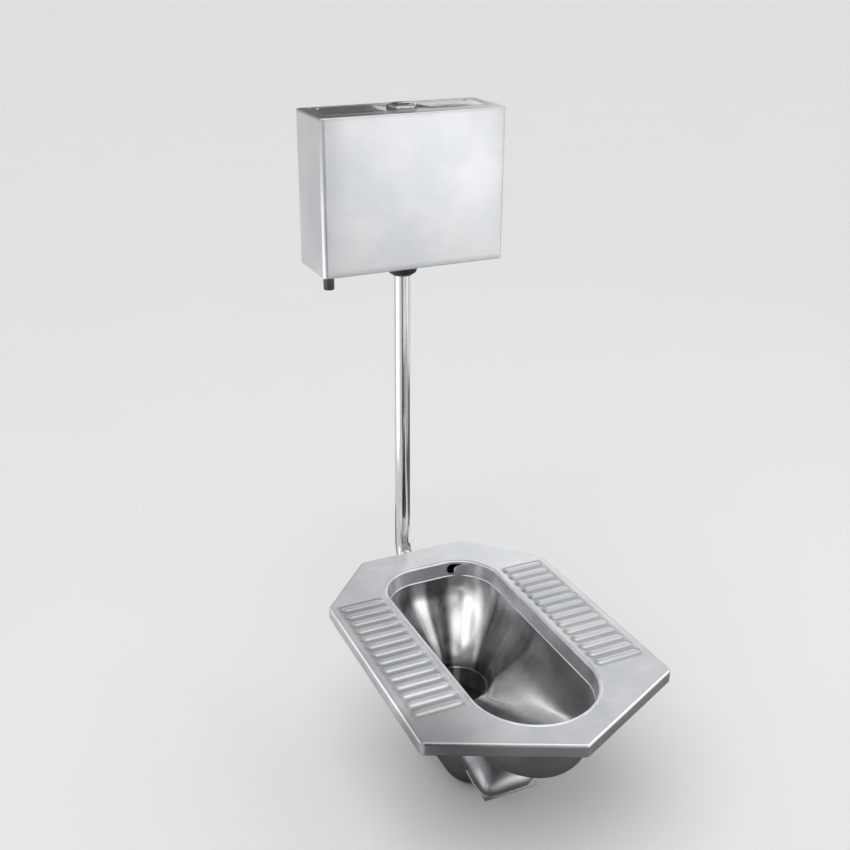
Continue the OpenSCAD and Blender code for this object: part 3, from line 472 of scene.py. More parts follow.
def toolMesh(name, rings):                    # a body that only cuts: two rings and their caps
    count = len(rings[0])
    faces = strips(2, count) + [list(range(count)), list(range(2 * count - 1, count - 1, -1))]
    data = bpy.data.meshes.new(name)
    data.from_pydata([Vector(v) * mm for v in flat(rings)], [], faces)
    faceOut(data)
    obj = bpy.data.objects.new(name, data)
    scene.collection.objects.link(obj)
    return obj


def strips(rows, count, closeRows=False, flip=False):    # faces between closed rings
    faces = []
    for k in range(rows if closeRows else rows - 1):
        for i in range(count):
            j = (i + 1) % count
            a, b = k * count, ((k + 1) % rows) * count
            face = [a + i, a + j, b + j, b + i]
            faces.append(face[::-1] if flip else face)
    return faces


def grid(rows, count):                        # faces of an open sheet
    faces = []
    for k in range(rows - 1):
        for i in range(count - 1):
            a, b = k * count + i, (k + 1) * count + i
            faces.append([a, a + 1, b + 1, b])
    return faces


def flat(rings):
    return [p for ring in rings for p in ring]


def level(outline, z):
    return [(x, y, z) for x, y in outline]


def tube(path, radius, around, closed=False, ripple=None):
    rings = []
    count = len(path)
    points = [Vector(p) for p in path]
    last = Vector((1, 0, 0))
    for k, p in enumerate(points):
        before = points[k - 1] if closed or k else p
        after = points[(k + 1) % count] if closed or k < count - 1 else p
        along = (after - before).normalized()
        side = last - along * last.dot(along)
        if side.length < 0.2:                 # the path runs along the last side
            side = Vector((0, 0, 1)) - along * along.z
        side.normalize()
        up = along.cross(side)
        last = side
        r = radius * (ripple(k) if ripple else 1)
        rings.append([tuple(p + side * r * cos(2 * pi * i / around) + up * r * sin(2 * pi * i / around))
                      for i in range(around)])
    return rings


def fillBetween(loops, grids=()):             # a flat sheet with holes, joined to ready grids
    bm = bmesh.new()
    edges = []
    for loop in loops:
        verts = [bm.verts.new(p) for p in loop]
        edges += [bm.edges.new((verts[i - 1], verts[i])) for i in range(len(verts))]
    bmesh.ops.triangle_fill(bm, use_beauty=True, use_dissolve=False, edges=edges, normal=(0, 0, 1))
    for points, faces in grids:
        verts = [bm.verts.new(p) for p in points]
        for face in faces:
            bm.faces.new([verts[i] for i in face])
    bmesh.ops.remove_doubles(bm, verts=bm.verts, dist=0.001)
    bm.verts.ensure_lookup_table()
    for face in bm.faces:
        if face.normal.z < 0:
            face.normal_flip()
    points = [tuple(v.co) for v in bm.verts]
    faces = [[v.index for v in face.verts] for face in bm.faces]
    bm.free()
    return points, faces


def join(parts):                              # several point and face lists as one
    points, faces = [], []
    for partPoints, partFaces in parts:
        base = len(points)
        points += list(partPoints)
        faces += [[base + i for i in face] for face in partFaces]
    return points, faces


def welded(obj):                              # points that meet become one
    bm = bmesh.new()
    bm.from_mesh(obj.data)
    bmesh.ops.remove_doubles(bm, verts=bm.verts, dist=0.01 * mm)
    bm.to_mesh(obj.data)
    bm.free()
    shade(obj.data, 40)
    return obj


# ---- outlines, as in the solids, in millimetres

pan = {
    "deckZ": 298.0, "backY": 410.0, "width": 500.0, "length": 704.0, "taper": 8.5, "backWidth": 235.0,
    "backCut": 134.0, "frontCut": 120.0, "corner": 12.0, "edge": 5.0, "skirt": 25.0, "lip": 12.0,
    "sheet": 1.5, "margin": 2.5, "bead": 7.0, "neck": 33.0, "draft": 4.0,
    "ribs": 14, "pitch": 27.1, "ribBack": 157.0, "ribHigh": 3.0, "ribWide": 25.5, "ribMargin": 14.0,
    "ribGap": 13.0, "mouthWidth": 238.0, "mouthLength": 558.0, "mouthBack": 74.0, "mouthCorner": 84.0,
}
frontHalf = pan["width"] / 2
rearHalf = frontHalf - pan["taper"]
mouthRear = pan["backY"] - pan["mouthBack"]
mouthFront = mouthRear - pan["mouthLength"]
deckCorners = [
    (-pan["backWidth"] / 2, pan["backY"]), (-rearHalf, pan["backY"] - pan["backCut"]),
    (-frontHalf, pan["backY"] - pan["length"] + pan["frontCut"]), (0, pan["backY"] - pan["length"]),
    (frontHalf, pan["backY"] - pan["length"] + pan["frontCut"]), (rearHalf, pan["backY"] - pan["backCut"]),
    (pan["backWidth"] / 2, pan["backY"]),
]


def unit(x, y):
    size = hypot(x, y)
    return x / size, y / size


def inset(points, d):                         # a closed outline moved inward
    out = []
    for i, (x, y) in enumerate(points):
        before, after = points[i - 1], points[(i + 1) % len(points)]
        a = unit(x - before[0], y - before[1])
        b = unit(after[0] - x, after[1] - y)
        n0, n1 = (-a[1], a[0]), (-b[1], b[0])
        share = d / (1 + n0[0] * n1[0] + n0[1] * n1[1])
        out.append((x + share * (n0[0] + n1[0]), y + share * (n0[1] + n1[1])))
    return out


def rounded(points, r, steps, side):          # corners rounded, straight sides cut in side steps
    out = []
    for i, (x, y) in enumerate(points):
        before, after = points[i - 1], points[(i + 1) % len(points)]
        a = unit(x - before[0], y - before[1])
        b = unit(after[0] - x, after[1] - y)
        bend = acos(max(-1, min(1, a[0] * b[0] + a[1] * b[1])))
        cx = x - a[0] * r * tan(bend / 2) - a[1] * r
        cy = y - a[1] * r * tan(bend / 2) + a[0] * r
        for k in range(steps + 1):
            t = bend * k / steps
            out.append((cx + r * (a[0] * sin(t) + a[1] * cos(t)), cy + r * (a[1] * sin(t) - a[0] * cos(t))))
    spread = []
    for i, p in enumerate(out):
        q = out[(i + 1) % len(out)]
        cuts = side if (i + 1) % (steps + 1) == 0 else 1
        spread += [(p[0] + (q[0] - p[0]) * k / cuts, p[1] + (q[1] - p[1]) * k / cuts) for k in range(cuts)]
    return spread


def deckOutline(d):                           # the deck's edge, moved inward
    return rounded(inset(deckCorners, d), max(pan["corner"] - d, 3), 8, 24)


def arc(cx, cy, r, start, end, steps):
    return [(cx + r * cos(radians(start + (end - start) * k / steps)),
             cy + r * sin(radians(start + (end - start) * k / steps))) for k in range(steps + 1)]


def circle(x, y, z, r, steps):
    return [(x + a, y + b, z) for a, b in arc(0, 0, r, 0, 360, steps)[:-1]]


mouthSteps = {"rear": 12, "side": 40, "corner": 22, "front": 54}


def mouthOutline(grow):                       # round the mouth from its right side, moved outward
    half, corner = pan["mouthWidth"] / 2, pan["mouthCorner"]
    rear, side, turn, front = (mouthSteps[name] for name in ("rear", "side", "corner", "front"))
    rearX, rearY, frontY = half - corner, mouthRear - corner, mouthFront + half
    outline = arc(rearX, rearY, corner + grow, 0, 90, turn)
    outline += [(rearX - 2 * rearX * k / rear, mouthRear + grow) for k in range(1, rear)]
    outline += arc(-rearX, rearY, corner + grow, 90, 180, turn)
    outline += [(-half - grow, rearY + (frontY - rearY) * k / side) for k in range(1, side)]
    outline += arc(0, frontY, half + grow, 180, 360, front)
    return outline + [(half + grow, frontY + (rearY - frontY) * k / side) for k in range(1, side)]


def lift(points, z):                          # at a height above the deck
    return [(x, y, z + pan["deckZ"]) for x, y in points]


# ---- deck with its pressed treads


def halfAt(y):                                # the deck's half width, which tapers to the rear
    t = (pan["backY"] - pan["backCut"] - y) / (pan["length"] - pan["backCut"] - pan["frontCut"])
    return rearHalf + (frontHalf - rearHalf) * t


def ease(t):
    t = max(0.0, min(1.0, t))
    return t * t * (3 - 2 * t)


# steps each way, the share of a rib's half width that is flat, and how far the grid goes past the ribs
tread = {"along": 300, "across": 34, "crowd": 0.10, "flat": 0.16, "border": 3.0, "ends": 2.0}


def treadGrid(side):                          # one side's ribs and gaps, and the loop round them
    half = pan["ribWide"] / 2
    firstY = pan["backY"] - pan["ribBack"]
    top = firstY + half + tread["ends"]
    low = firstY - (pan["ribs"] - 1) * pan["pitch"] - half - tread["ends"]
    inner = pan["mouthWidth"] / 2 + pan["ribGap"]
    points = []
    for i in range(tread["along"] + 1):
        y = top + (low - top) * i / tread["along"]
        outer = halfAt(y) - pan["ribMargin"]
        rib = min(pan["ribs"] - 1, max(0, round((firstY - y) / pan["pitch"])))
        ribY = firstY - rib * pan["pitch"]
        for k in range(tread["across"] + 1):
            t = k / tread["across"]
            t = t - tread["crowd"] * sin(2 * pi * t)    # finer near both ends
            x = inner - tread["border"] + (outer - inner + 2 * tread["border"]) * t
            past = max(inner + half - x, x - outer + half, 0)
            far = hypot(past, y - ribY) / half
            high = pan["ribHigh"] * (1 - ease((far - tread["flat"]) / (1 - tread["flat"])))
            points.append((side * x, y, pan["deckZ"] + high))
    wide = tread["across"] + 1
    last = tread["along"] * wide
    loop = points[:wide] + [points[i * wide + wide - 1] for i in range(1, tread["along"])]
    loop += points[:last - 1:-1] + [points[i * wide] for i in range(tread["along"] - 1, 0, -1)]
    return points, grid(tread["along"] + 1, wide), loop


def makeDeck():
    z, r, low, margin = pan["deckZ"], pan["edge"], -pan["skirt"], pan["margin"]
    left, right = treadGrid(-1), treadGrid(1)
    outerLoop = level(deckOutline(r + margin), z)
    ringIn = level(mouthOutline(pan["bead"] / 2), z)
    ringOut = level(mouthOutline(pan["bead"] / 2 + margin), z)
    top = fillBetween([outerLoop, ringOut, left[2], right[2]], [left[:2], right[:2]])
    profile = [(r + margin, 0), (r, 0)]
    profile += [(r - r * sin(radians(a)), -r + r * cos(radians(a))) for a in range(10, 91, 10)]
    profile += [(0, -9), (0, -15), (0, low + 3)]
    profile += [(0, low + 1.2), (0.35, low + 0.35), (1.2, low), (3, low), (pan["lip"], low)]
    skirt = flat([lift(deckOutline(d), h) for d, h in profile])
    edge = (skirt, strips(len(profile), len(outerLoop), flip=True))
    mouth = (ringIn + ringOut, strips(2, len(ringIn)))
    obj = addPiece("deckSheet", *join([top, edge, mouth]), "fixture", "deck_steel", "deckSteel", ["pan_deck"])
    welded(obj)
    return thicken(obj, pan["sheet"], 50)


makeDeck()
print("deck made")

# ---- neck and bowl

# the wall's offset from the mouth's edge and where it starts, the bead's height at its crest and its rim, how
# the bead rounds into the wall, and how far the folded foot stands out
neck = {
    "from": -1.0, "below": 3.0, "beadHigh": 1.26, "start": 0.06, "out": 4.4, "down": 3.4, "sheet": 1.5,
    "hem": 1.3,
}
port = {"x": 62.0, "wide": 36.0, "r": 11.5, "reach": 104.0}    # a slot with round ends


def neckAt(z):                                # how far out the slanting wall stands at a height
    share = (-z - neck["below"]) / (pan["neck"] - neck["below"])
    return neck["from"] + (-pan["draft"] - neck["from"]) * share


def portTool():                               # cuts the flush port
    half, r = port["wide"] / 2 - port["r"], port["r"]
    ring = arc(half, 0, r, -90, 90, 16) + arc(-half, 0, r, 90, 270, 16)
    y, z = mouthRear - pan["mouthCorner"], pan["deckZ"] - pan["neck"] / 2
    ends = (y, y + port["reach"])
    return toolMesh("portTool", [[(port["x"] + a, end, z + b) for a, b in ring] for end in ends])


def makeNeck():
    bead, high, low, sheet = pan["bead"], neck["beadHigh"], -pan["neck"], neck["sheet"]
    start, out, down, edge = neck["start"], neck["out"], neck["down"], neckAt(-pan["neck"])
    profile = [(bead * (1 - k / 12), start + (high - start) * ease(k / 6)) for k in range(7)]
    # over the bead's crest and round into the wall
    profile += [(bead / 2 - out * sin(radians(a)), high - down + down * cos(radians(a)))
                for a in range(12, 73, 12)]
    profile += [(-0.95, -2.2), (neckAt(-4), -4)]
    profile += [(neckAt(low * t), low * t) for t in (0.3, 0.45, 0.6, 0.75, 0.88, 0.95)]
    # round the foot and up behind
    profile += [(edge - neck["hem"] * sin(radians(a)) ** 2, low + sheet + sheet * cos(radians(a)))
                for a in range(0, 181, 30)]
    profile += [(edge + sheet, low), (edge + sheet, low + 2)]
    profile += [(neckAt(-16) + sheet, -16), (neckAt(-5) + sheet, -5), (1.2, -1.4), (4.0, -0.4)]
    rings = [lift(mouthOutline(g), h) for g, h in profile]
    obj = addPiece("neckRing", flat(rings), strips(len(rings), len(rings[0]), True), "fixture", "deck_steel",
                   "neckSteel", ["rim_neck"])
    cut(obj, [portTool()])


# along X, heights under the deck, reach into the mouth, and how far its free end is rounded and curled
deflector = {
    "from": 84.0, "to": 55.0, "top": -4.8, "low": -29.0, "reach": 8.0, "drop": 9.0, "rise": 5.0, "curl": 3.0,
    "gap": 2.5, "sheet": 1.2, "steps": 18, "rows": 7,
}


def makeDeflector():                          # bent strip that turns the flush water along the wall
    run, rows = deflector, deflector["rows"]
    cornerX, cornerY = pan["mouthWidth"] / 2 - pan["mouthCorner"], mouthRear - pan["mouthCorner"]
    wall = pan["mouthCorner"] - run["gap"]
    rings = []
    for k in range(run["steps"] + 1):
        t = k / run["steps"]
        x = run["from"] + (run["to"] - run["from"]) * t
        y = cornerY + sqrt(max(0, wall ** 2 - max(0, x - cornerX) ** 2)) - 0.6 - run["reach"] * ease(t * 1.25)
        y -= run["curl"] * ease((t - 0.85) / 0.15)
        end = 1 - sqrt(1 - max(0, (t - 0.55) / 0.45) ** 2)
        low, top = run["low"] + run["rise"] * end, run["top"] - run["drop"] * end
        rings.append([(x, y, pan["deckZ"] + low + (top - low) * i / (rows - 1)) for i in range(rows)])
    faces = grid(len(rings), rows)
    obj = addPiece("flushDeflector", flat(rings), faces, "fixture", "deck_steel", "neckSteel")
    return thicken(obj, run["sheet"])


makeNeck()
makeDeflector()

bowl = {
    "deep": 196.0, "drain": 62.0, "drainY": 187.0, "sheet": 1.5, "gap": 0.3,
    "collarUp": 8.0, "collarDown": 9.0, "sharp": 12, "rows": 46,
    # the Bezier handles, at the rear and at the front: down from the neck, and out and up from the drain
    "rearDrop": 70.0, "rearFlat": 0.12, "rearRise": 60.0,
    "frontDrop": 158.0, "frontFlat": 1.0, "frontRise": 88.0,
}


def meridians():                              # rings of points on Bezier lines from the neck to the drain
    low, collar = -pan["neck"], -pan["neck"] + bowl["collarUp"]
    top = mouthOutline(neckAt(low) + bowl["sheet"] + bowl["gap"])
    rings = [lift(mouthOutline(neckAt(collar) + bowl["sheet"] + bowl["gap"]), collar)]
    rows = []
    for x, y in top:
        dx, dy = unit(x, y - bowl["drainY"])
        front = ((1 - dy) / 2) ** bowl["sharp"]
        run = hypot(x, y - bowl["drainY"]) - bowl["drain"]
        p0 = Vector((x, y, low))
        p3 = Vector((dx * bowl["drain"], bowl["drainY"] + dy * bowl["drain"], -bowl["deep"]))
        drop, out, rise = (bowl["rear" + name] + (bowl["front" + name] - bowl["rear" + name]) * front
                           for name in ("Drop", "Flat", "Rise"))
        p1 = p0 - Vector((0, 0, drop))
        p2 = p3 + Vector((dx * run * out, dy * run * out, rise))
        rows.append((p0, p1, p2, p3, dx, dy))
    for k in range(bowl["rows"] + 1):
        t = k / bowl["rows"]
        ring = []
        for p0, p1, p2, p3, dx, dy in rows:
            p = (1 - t) ** 3 * p0 + 3 * t * (1 - t) ** 2 * p1 + 3 * t * t * (1 - t) * p2 + t ** 3 * p3
            ring.append((p.x, p.y, p.z + pan["deckZ"]))
        rings.append(ring)
    foot = pan["deckZ"] - bowl["deep"] - bowl["collarDown"]
    return rings + [[(row[4] * bowl["drain"], bowl["drainY"] + row[5] * bowl["drain"], foot) for row in rows]]


def makeBowl():
    rings = meridians()
    obj = addPiece("bowlShell", flat(rings), strips(len(rings), len(rings[0])), "fixture", "bowl_steel",
                   "shellSteel", ["bowl"])
    for polygon in obj.data.polygons:
        polygon.flip()
    obj.data.materials.append(finishes["bowlSteel"])
    made = obj.modifiers.new("sheet", "SOLIDIFY")
    made.thickness = bowl["sheet"] * mm
    made.offset = 1
    made.material_offset = 1                  # the inside is polished
    settle(obj)
    return cut(obj, [portTool()])


makeBowl()
print("neck and bowl made")

# ---- trap

# radii and depths under the deck, then the dome's half width, height, nose and run back to the cup
trap = {
    "cup": 66.0, "cupY": 109.0, "low": 362.0, "top": 232.0, "knee": 48.0, "edge": 3.0, "hole": 62.4,
    "sheet": 1.5,
}
dome = {
    "wide": 56.0, "high": 44.0, "foot": 8.0, "front": 50.0, "round": 5.0, "power": 2.3, "plate": 290.0,
    "rear": 10.0, "narrow": 5.0, "run": 43.0,
}


def cupPlan(d):                               # the cup's long round outline, moved inward
    r = trap["cup"] - d
    return arc(0, bowl["drainY"], r, 0, 180, 32) + arc(0, trap["cupY"], r, 180, 360, 32)


def makeCup():
    knee, edge, low, top = trap["knee"], trap["edge"], -trap["low"], -trap["top"]
    rings = [lift(cupPlan(knee - 0.01), low)]
    for a in range(6, 91, 6):
        rings.append(lift(cupPlan(knee * (1 - sin(radians(a)))), low + knee * (1 - cos(radians(a)))))
    rings += [lift(cupPlan(0), low + knee + (top - edge - low - knee) * t) for t in (0.33, 0.66, 1)]
    rings += [lift(cupPlan(edge - edge * sin(radians(a))), top - edge + edge * cos(radians(a)))
              for a in (60, 30, 0)]
    hole = circle(0, bowl["drainY"], pan["deckZ"] + top, trap["hole"], 64)
    bottom = (rings[0], [list(range(len(rings[0]) - 1, -1, -1))])
    body = (flat(rings), strips(len(rings), len(rings[0])))
    obj = addPiece("cupShell", *join([bottom, body, fillBetween([rings[-1], hole])]), "fixture", "trap_steel",
                   "trapSteel", ["water_cup"])
    welded(obj)
    obj.data.materials.append(finishes["drainSteel"])    # the inside
    return thicken(obj, trap["sheet"], inner=1)


def cupTool():                                # keeps the dome out of the cup
    return toolMesh("cupTool", [lift(cupPlan(-0.3), -trap["low"]), lift(cupPlan(-0.3), -trap["top"] + 5)])


def arch(y, wide, rise, power=dome["power"]):  # short upright walls under a round back
    base = pan["deckZ"] - dome["plate"] + trap["sheet"]
    out = [(wide, y, base)]
    for k in range(41):
        a = radians(180 * k / 40)
        x = wide * (1 if cos(a) >= 0 else -1) * abs(cos(a)) ** (2 / power)
        out.append((x, y, base + dome["foot"] + rise * abs(sin(a)) ** (2 / power)))
    return out + [(-wide, y, base)]


def domePlan(y):                              # the nose is rounded in plan, so the plate's corners show
    return (1 - min(0.9995, max(0, -y / dome["front"])) ** dome["round"]) ** (1 / dome["round"])


def makeDome():
    wide, rise, rear = dome["wide"], dome["high"] - dome["foot"], trap["cupY"] - trap["cup"]
    rings = [arch(trap["cupY"] + dome["rear"], wide - 2 * dome["narrow"], rise - 2, 2.1)]
    for t in (0, 0.33, 0.66):
        narrow = dome["narrow"] * (1 - ease(t))
        rings.append(arch(rear - dome["run"] * t, wide - narrow, rise, 2.1 + 0.2 * ease(t)))
    for a in list(range(0, 79, 6)) + [81, 83, 85, 87, 88.5]:
        y = -dome["front"] * sin(radians(a))
        rings.append(arch(y, wide * domePlan(y), rise * cos(radians(a))))
    count = len(rings[0])
    faces = []
    for k in range(len(rings) - 1):
        for i in range(count - 1):
            a, b = k * count + i, (k + 1) * count + i
            faces.append([a, b, b + 1, a + 1])
    last = (len(rings) - 1) * count
    faces.append([last + i for i in range(count)])
    obj = addPiece("domeShell", flat(rings), faces, "fixture", "trap_steel", "trapSteel", ["outlet_dome"])
    faceOut(obj.data)
    thicken(obj, trap["sheet"], 60)
    return cut(obj, [cupTool()], 60)


makeCup()
makeDome()


def weldBead(name, path, radius, slot, finish="weldSteel", closed=True):
    def ripple(k):
        return 1 + 0.16 * sin(k * 1.9) + 0.07 * sin(k * 0.73)
    rings = tube(path, radius, 10, closed, ripple)
    return addPiece(name, flat(rings), strips(len(rings), 10, closed), "fixture", slot, finish, crease=80)


def domeFoot():                               # the fillet that joins the dome to its plate
    wide, front, z = dome["wide"] + 0.5, dome["front"] + 0.5, pan["deckZ"] - dome["plate"] + 2.0
    side = [(-wide + dome["narrow"], trap["cupY"] - trap["cup"] - 4)]
    for a in range(0, 89, 4):
        turn = sin(radians(a))
        side.append((-wide * domePlan(-dome["front"] * turn), -front * turn))
    corners = side + [(-x, y) for x, y in side[::-1]]
    path = []
    for a, b in zip(corners, corners[1:]):
        x, y = b[0] - a[0], b[1] - a[1]
        count = max(1, int(hypot(x, y) / 1.2))
        path += [(a[0] + x * k / count, a[1] + y * k / count, z) for k in range(count)]
    return path


welds = {                                     # depth under the deck, radius, the bead's radius and slot
    "cupTopWeld": (trap["top"] - 0.6, 62.3, 1.5, "trap_steel"),
    "bowlCollarWeld": (bowl["deep"] + bowl["collarDown"] + 0.4, 62.6, 1.4, "bowl_steel"),
}
for name, (under, r, bead, slotName) in welds.items():
    weldBead(name, circle(0, bowl["drainY"], pan["deckZ"] - under, r, 220), bead, slotName)
weldBead("domeFootWeld", domeFoot(), 1.7, "trap_steel", "trapSteel", False)
print("trap made")

# ---- flush pipe

pipe = {"r": 16.0, "wall": 1.0, "y": 463.0, "top": 921.0, "bend": 52.0, "around": 72}


def makePipe():                               # down from the tank, then forward under the deck
    y, z, r = pipe["y"], pan["deckZ"], pipe["bend"]
    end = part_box("flush_pipe")[0].y / mm
    path = [(0, y, pipe["top"] - (pipe["top"] - z) * k / 10) for k in range(11)]
    path += [(0, y - r + r * cos(radians(a)), z - r * sin(radians(a))) for a in range(6, 91, 6)]
    path += [(0, y - r - 10, z - r), (0, end, z - r)]
    rings = tube(path, pipe["r"], pipe["around"])
    obj = addPiece("flushPipe", flat(rings), strips(len(rings), pipe["around"]), "fixture", "pipe_chrome",
                   "pipeChrome", ["flush_pipe"])
    faceOut(obj.data)
    return thicken(obj, pipe["wall"])


makePipe()
print("pipe made")

# ---- tank

tank = {
    "y": 463.0, "z": 924.0, "wide": 374.0, "deep": 133.0, "high": 293.0, "sheet": 1.2, "corner": 9.0,
    "top": 3.0, "end": 22.0, "front": 31.0, "back": 12.0, "lid": 1.5, "ledgeEnd": 20.0, "ledgeSide": 4.0,
    "screwSpan": 220.0, "screwHole": 4.5, "screwDrop": 60.0, "slit": 0.9, "thread": 25.0,
}
lidWide = tank["wide"] - 2 * tank["end"]
lidDeep = tank["deep"] - tank["front"] - tank["back"]
lidY = tank["y"] + (tank["front"] - tank["back"]) / 2


def rectangle(wide, deep):
    return [(-wide / 2, -deep / 2), (wide / 2, -deep / 2), (wide / 2, deep / 2), (-wide / 2, deep / 2)]


def tankOutline(d):
    ring = rounded(rectangle(tank["wide"] - 2 * d, tank["deep"] - 2 * d), max(tank["corner"] - d, 0.8), 10, 8)
    return [(x, y + tank["y"]) for x, y in ring]


def openingOutline(d, r=1.2):                 # the lid's opening, moved inward at its ends and sides
    ring = rounded(rectangle(lidWide - 2 * d[0], lidDeep - 2 * d[1]), r, 4, 6)
    return [(x, y + lidY) for x, y in ring]


def screwHole(side):                          # cuts a hole for a wall screw
    x, y = side * tank["screwSpan"] / 2, tank["y"] + tank["deep"] / 2
    z, r, steps = tank["z"] + tank["high"] - tank["screwDrop"], tank["screwHole"], 32
    turns = [2 * pi * k / steps for k in range(steps)]
    rings = [[(x + r * cos(a), y + end, z - r * sin(a)) for a in turns] for end in (-6, 4)]
    return toolMesh("holeTool", rings)


def makeTank():
    z, high, r, floor = tank["z"], tank["high"], tank["top"], tank["lid"] + 0.05
    profile = [(12, 0), (3, 0), (1.6, 0.0), (0.7, 0.3), (0.2, 0.9), (0, 1.8)]
    profile += [(0, 12 + (high - r - 18) * t) for t in (0, 0.25, 0.5, 0.75, 1)]
    profile += [(r - r * cos(radians(a)), high - r + r * sin(radians(a))) for a in range(0, 91, 10)]
    profile += [(r + 2, high)]
    rings = [level(tankOutline(d), z + h) for d, h in profile]
    bottom = (rings[0], [list(range(len(rings[0]) - 1, -1, -1))])
    # the opening's edge turns down to the ledge that carries the lid
    steps = [((-0.9, -0.9), 0), ((-0.3, -0.3), 0.08), ((0, 0), 0.5), ((0, 0), floor)]
    steps.append(((tank["ledgeEnd"], tank["ledgeSide"]), floor))
    opening = [level(openingOutline(d), z + high - h) for d, h in steps]
    walls = (flat(rings), strips(len(rings), len(rings[0])))
    turned = (flat(opening), strips(len(opening), len(opening[0])))
    obj = addPiece("tankShell", *join([bottom, walls, fillBetween([rings[-1], opening[0]]), turned]),
                   "fixture", "tank_steel", "tankSteel", ["tank_body"])
    welded(obj)
    thicken(obj, tank["sheet"])
    return cut(obj, [screwHole(-1), screwHole(1)])


makeTank()


def makeLid():
    z, lid, slit, bore = tank["z"] + tank["high"], tank["lid"], tank["slit"], tank["thread"]
    profile = [(slit + 1.0, 0.0), (slit + 0.35, -0.12), (slit, -0.6), (slit, -lid)]
    rings = [level(openingOutline((d, d), 1.5), z + h) for d, h in profile]
    hole = [circle(0, tank["y"], z + h, bore + r, 64) for r, h in ((0.9, 0), (0.3, -0.5), (0.3, -lid))]
    under = fillBetween([rings[-1], hole[-1]])
    parts = [fillBetween([rings[0], hole[0]]), (flat(rings), strips(len(rings), len(rings[0]), flip=True)),
             (flat(hole), strips(len(hole), len(hole[0]))), (under[0], [face[::-1] for face in under[1]])]
    obj = addPiece("lidPlate", *join(parts), "lid", "tank_steel", "frameSteel", ["tank_lid"])
    return welded(obj)


makeLid()
print("tank made")

# ---- fittings: solids with softened edges


def soften(node, body, finish, width):
    bm = bmesh.new()
    bm.from_mesh(frame["nodes"][node].data)
    bmesh.ops.remove_doubles(bm, verts=bm.verts, dist=0.000002)
    bmesh.ops.dissolve_limit(bm, angle_limit=radians(1.2), use_dissolve_boundaries=False, verts=bm.verts,
                             edges=bm.edges)
    data = bpy.data.meshes.new(node + "Soft")
    bm.to_mesh(data)
    bm.free()
    obj = dressPiece(node + "Soft", data, body, finish, [node])
    made = obj.modifiers.new("soften", "BEVEL")
    made.width = width * mm
    made.segments = 2
    made.limit_method = "ANGLE"
    made.angle_limit = radians(35)
    made.use_clamp_overlap = True
    return settle(obj, 38)


bodyOf = {node: body for body, nodes in frame["record"]["behaviour"]["bodies"].items() for node in nodes}
softened = {                                  # slot, finish and the width of the softened edges
    "button_ring": ("button_chrome", "buttonChrome", 0.3), "full_key": ("key_chrome", "buttonChrome", 0.45),
    "half_key": ("key_chrome", "buttonChrome", 0.45), "lid_screws": ("screw_steel", "buttonChrome", 0.15),
    "ring_nut": ("nut_plastic", "blackPlastic", 0.4), "nut_washer": ("seal_rubber", "blackRubber", 0.5),
    "anchor_lugs": ("deck_steel", "fittingSteel", 0.3), "flush_chest": ("deck_steel", "fittingSteel", 0.8),
    "inlet_socket": ("deck_steel", "fittingSteel", 0.3), "inlet_sleeve": ("seal_rubber", "blackRubber", 0.5),
    "outlet_plate": ("trap_steel", "trapSteel", 0.3), "outlet_spigot": ("trap_steel", "trapSteel", 0.3),
    "back_plate": ("tank_steel", "fittingSteel", 0.3), "inlet_nut": ("nut_plastic", "blackPlastic", 0.6),
}
for node, (slotName, finishName, width) in softened.items():
    soften(node, bodyOf[node], finishName, width)
print("fittings softened:", len(softened))

plain = {                                     # solids that are only given a finish
    "drainSteel": ["drain_tube"], "trapSteel": ["trap_baffle"],
    "blackRubber": ["pipe_seal", "valve_washer", "inlet_washer", "flush_seal"],
    "whitePlastic": ["valve_base", "valve_cage", "valve_head", "overflow_tube", "fill_head", "float_cup",
                     "float_arm"],
    "redPlastic": ["full_rocker", "half_rocker", "half_float"], "fittingSteel": ["rocker_pins", "arm_pin"],
    "inletPlastic": ["fill_valve"], "blackPlastic": ["flush_nut"],
}
for finishName, nodes in plain.items():
    for node in nodes:
        frame["nodes"][node].data.materials.clear()
        frame["nodes"][node].data.materials.append(finishes[finishName])


def makeSpring(node):                    # a steel copy of the spring's solid, in its place
    obj = bpy.data.objects.new(node + "Coil", frame["nodes"][node].data.copy())
    scene.collection.objects.link(obj)
    obj.data.materials.clear()
    obj.data.materials.append(finishes["fittingSteel"])
    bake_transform(obj)
    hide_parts(node)


makeSpring("full_spring")
makeSpring("half_spring")
print("springs made")

# ---- inlet thread

# the tail's place and radius, then the thread: its run, its depth, and how far up its root and crest are wide
thread = {
    "x": -154.0, "y": 463.0, "r": 9.77, "low": 885.5, "high": 913.0, "pitch": 1.8, "deep": 0.675, "sunk": 0.3,
    "root": 0.85, "crest": 0.15, "around": 40, "fade": 12,
}


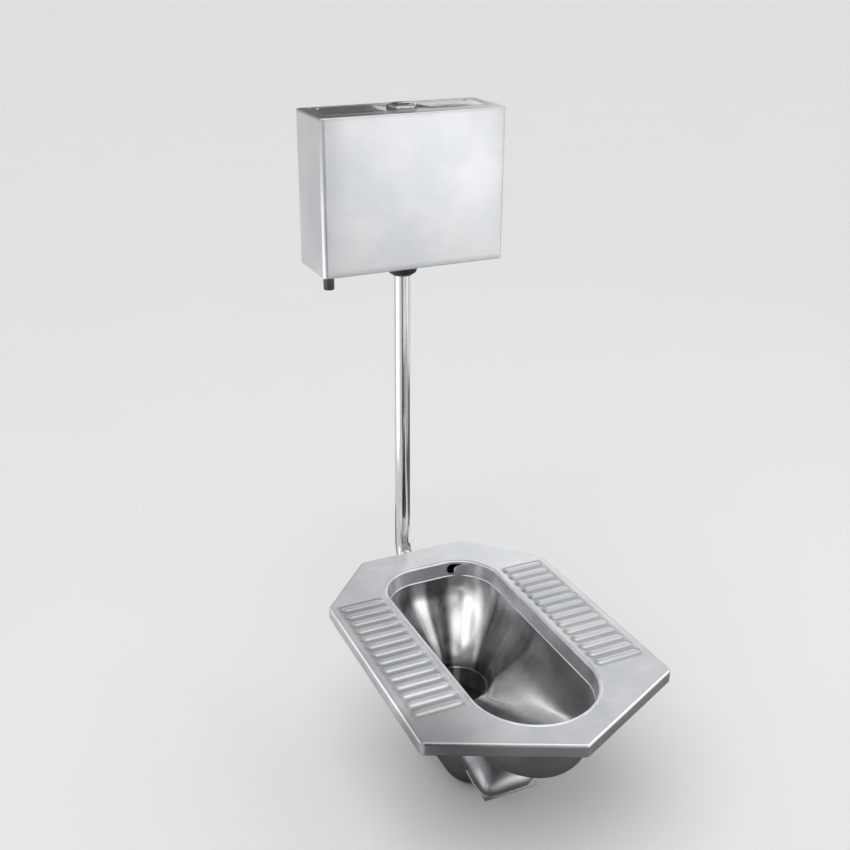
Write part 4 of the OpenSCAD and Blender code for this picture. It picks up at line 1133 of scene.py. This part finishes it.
def makeThread():
    around, x, y = thread["around"], thread["x"], thread["y"]
    steps = (thread["high"] - thread["low"]) / thread["pitch"] * around
    rings = []
    for k in range(int(steps) + 1):
        a = 2 * pi * k / around
        z = thread["low"] + thread["pitch"] * k / around
        deep = thread["deep"] * min(1, k / thread["fade"], (steps - k) / thread["fade"] + 0.05)
        inner, outer = thread["r"] - thread["sunk"], thread["r"] + deep
        section = [(inner, -thread["root"]), (outer, -thread["crest"]), (outer, thread["crest"]),
                   (inner, thread["root"])]
        rings.append([(x + r * cos(a), y + r * sin(a), z + up) for r, up in section])
    return addPiece("inletThread", flat(rings), strips(len(rings), 4), "fixture", "inlet_plastic",
                    "inletPlastic", crease=30)


makeThread()

# ---- floor, wall and boards, in metres


def stagePiece(name, points, faces, finish, unseen=()):
    data = bpy.data.meshes.new(name)
    data.from_pydata(points, [], faces)
    data.materials.append(finish.material)
    obj = bpy.data.objects.new(name, data)
    scene.collection.objects.link(obj)
    for ray in unseen:
        setattr(obj, "visible_" + ray, False)


def makeFloor():
    finish = Finish("floorPaper", Roughness=0.85)
    low = tuple(c * 0.985 for c in studio["floorTone"])
    finish.feed("Base Color", finish.noise(3, 3, 0.5).mixed((*low, 1), (*studio["floorTone"], 1)))
    half = studio["floorSize"] / 2
    corners = level([(-half, -half), (half, -half), (half, half), (-half, half)], studio["floorLow"])
    stagePiece("floor", corners, [[0, 1, 2, 3]], finish)


def makeWall():                               # a pale round wall behind the floor, for low views
    wall = studio["wall"]
    finish = Finish("wallPaper", Base_Color=grey(0.0), Emission_Strength=1.0, Specular_IOR_Level=0.0)
    finish.feed("Emission Color", finish.noise(0.2).mixed(grey(wall["tone"] * 0.99), grey(wall["tone"])))
    rings = [circle(0, 0, z, wall["far"], wall["around"]) for z in (studio["floorLow"], wall["high"])]
    stagePiece("wall", flat(rings), strips(2, wall["around"]), finish, ("glossy", "diffuse", "shadow"))


def placeBoards():
    for name, (middle, across, along, tone) in studio["boards"].items():
        middle, across, along = Vector(middle), Vector(across), Vector(along)
        finish = Finish(name + "Paint", Roughness=0.9)
        finish.feed("Base Color", finish.noise(20).mixed(grey(tone * 0.9), grey(tone)))
        corners = [middle + across * a + along * b for a, b in ((-1, -1), (1, -1), (1, 1), (-1, 1))]
        stagePiece(name, corners, [[0, 1, 2, 3]], finish, ("camera", "diffuse", "shadow"))


makeFloor()
makeWall()
placeBoards()
print("stage set")

print("pieces ready")
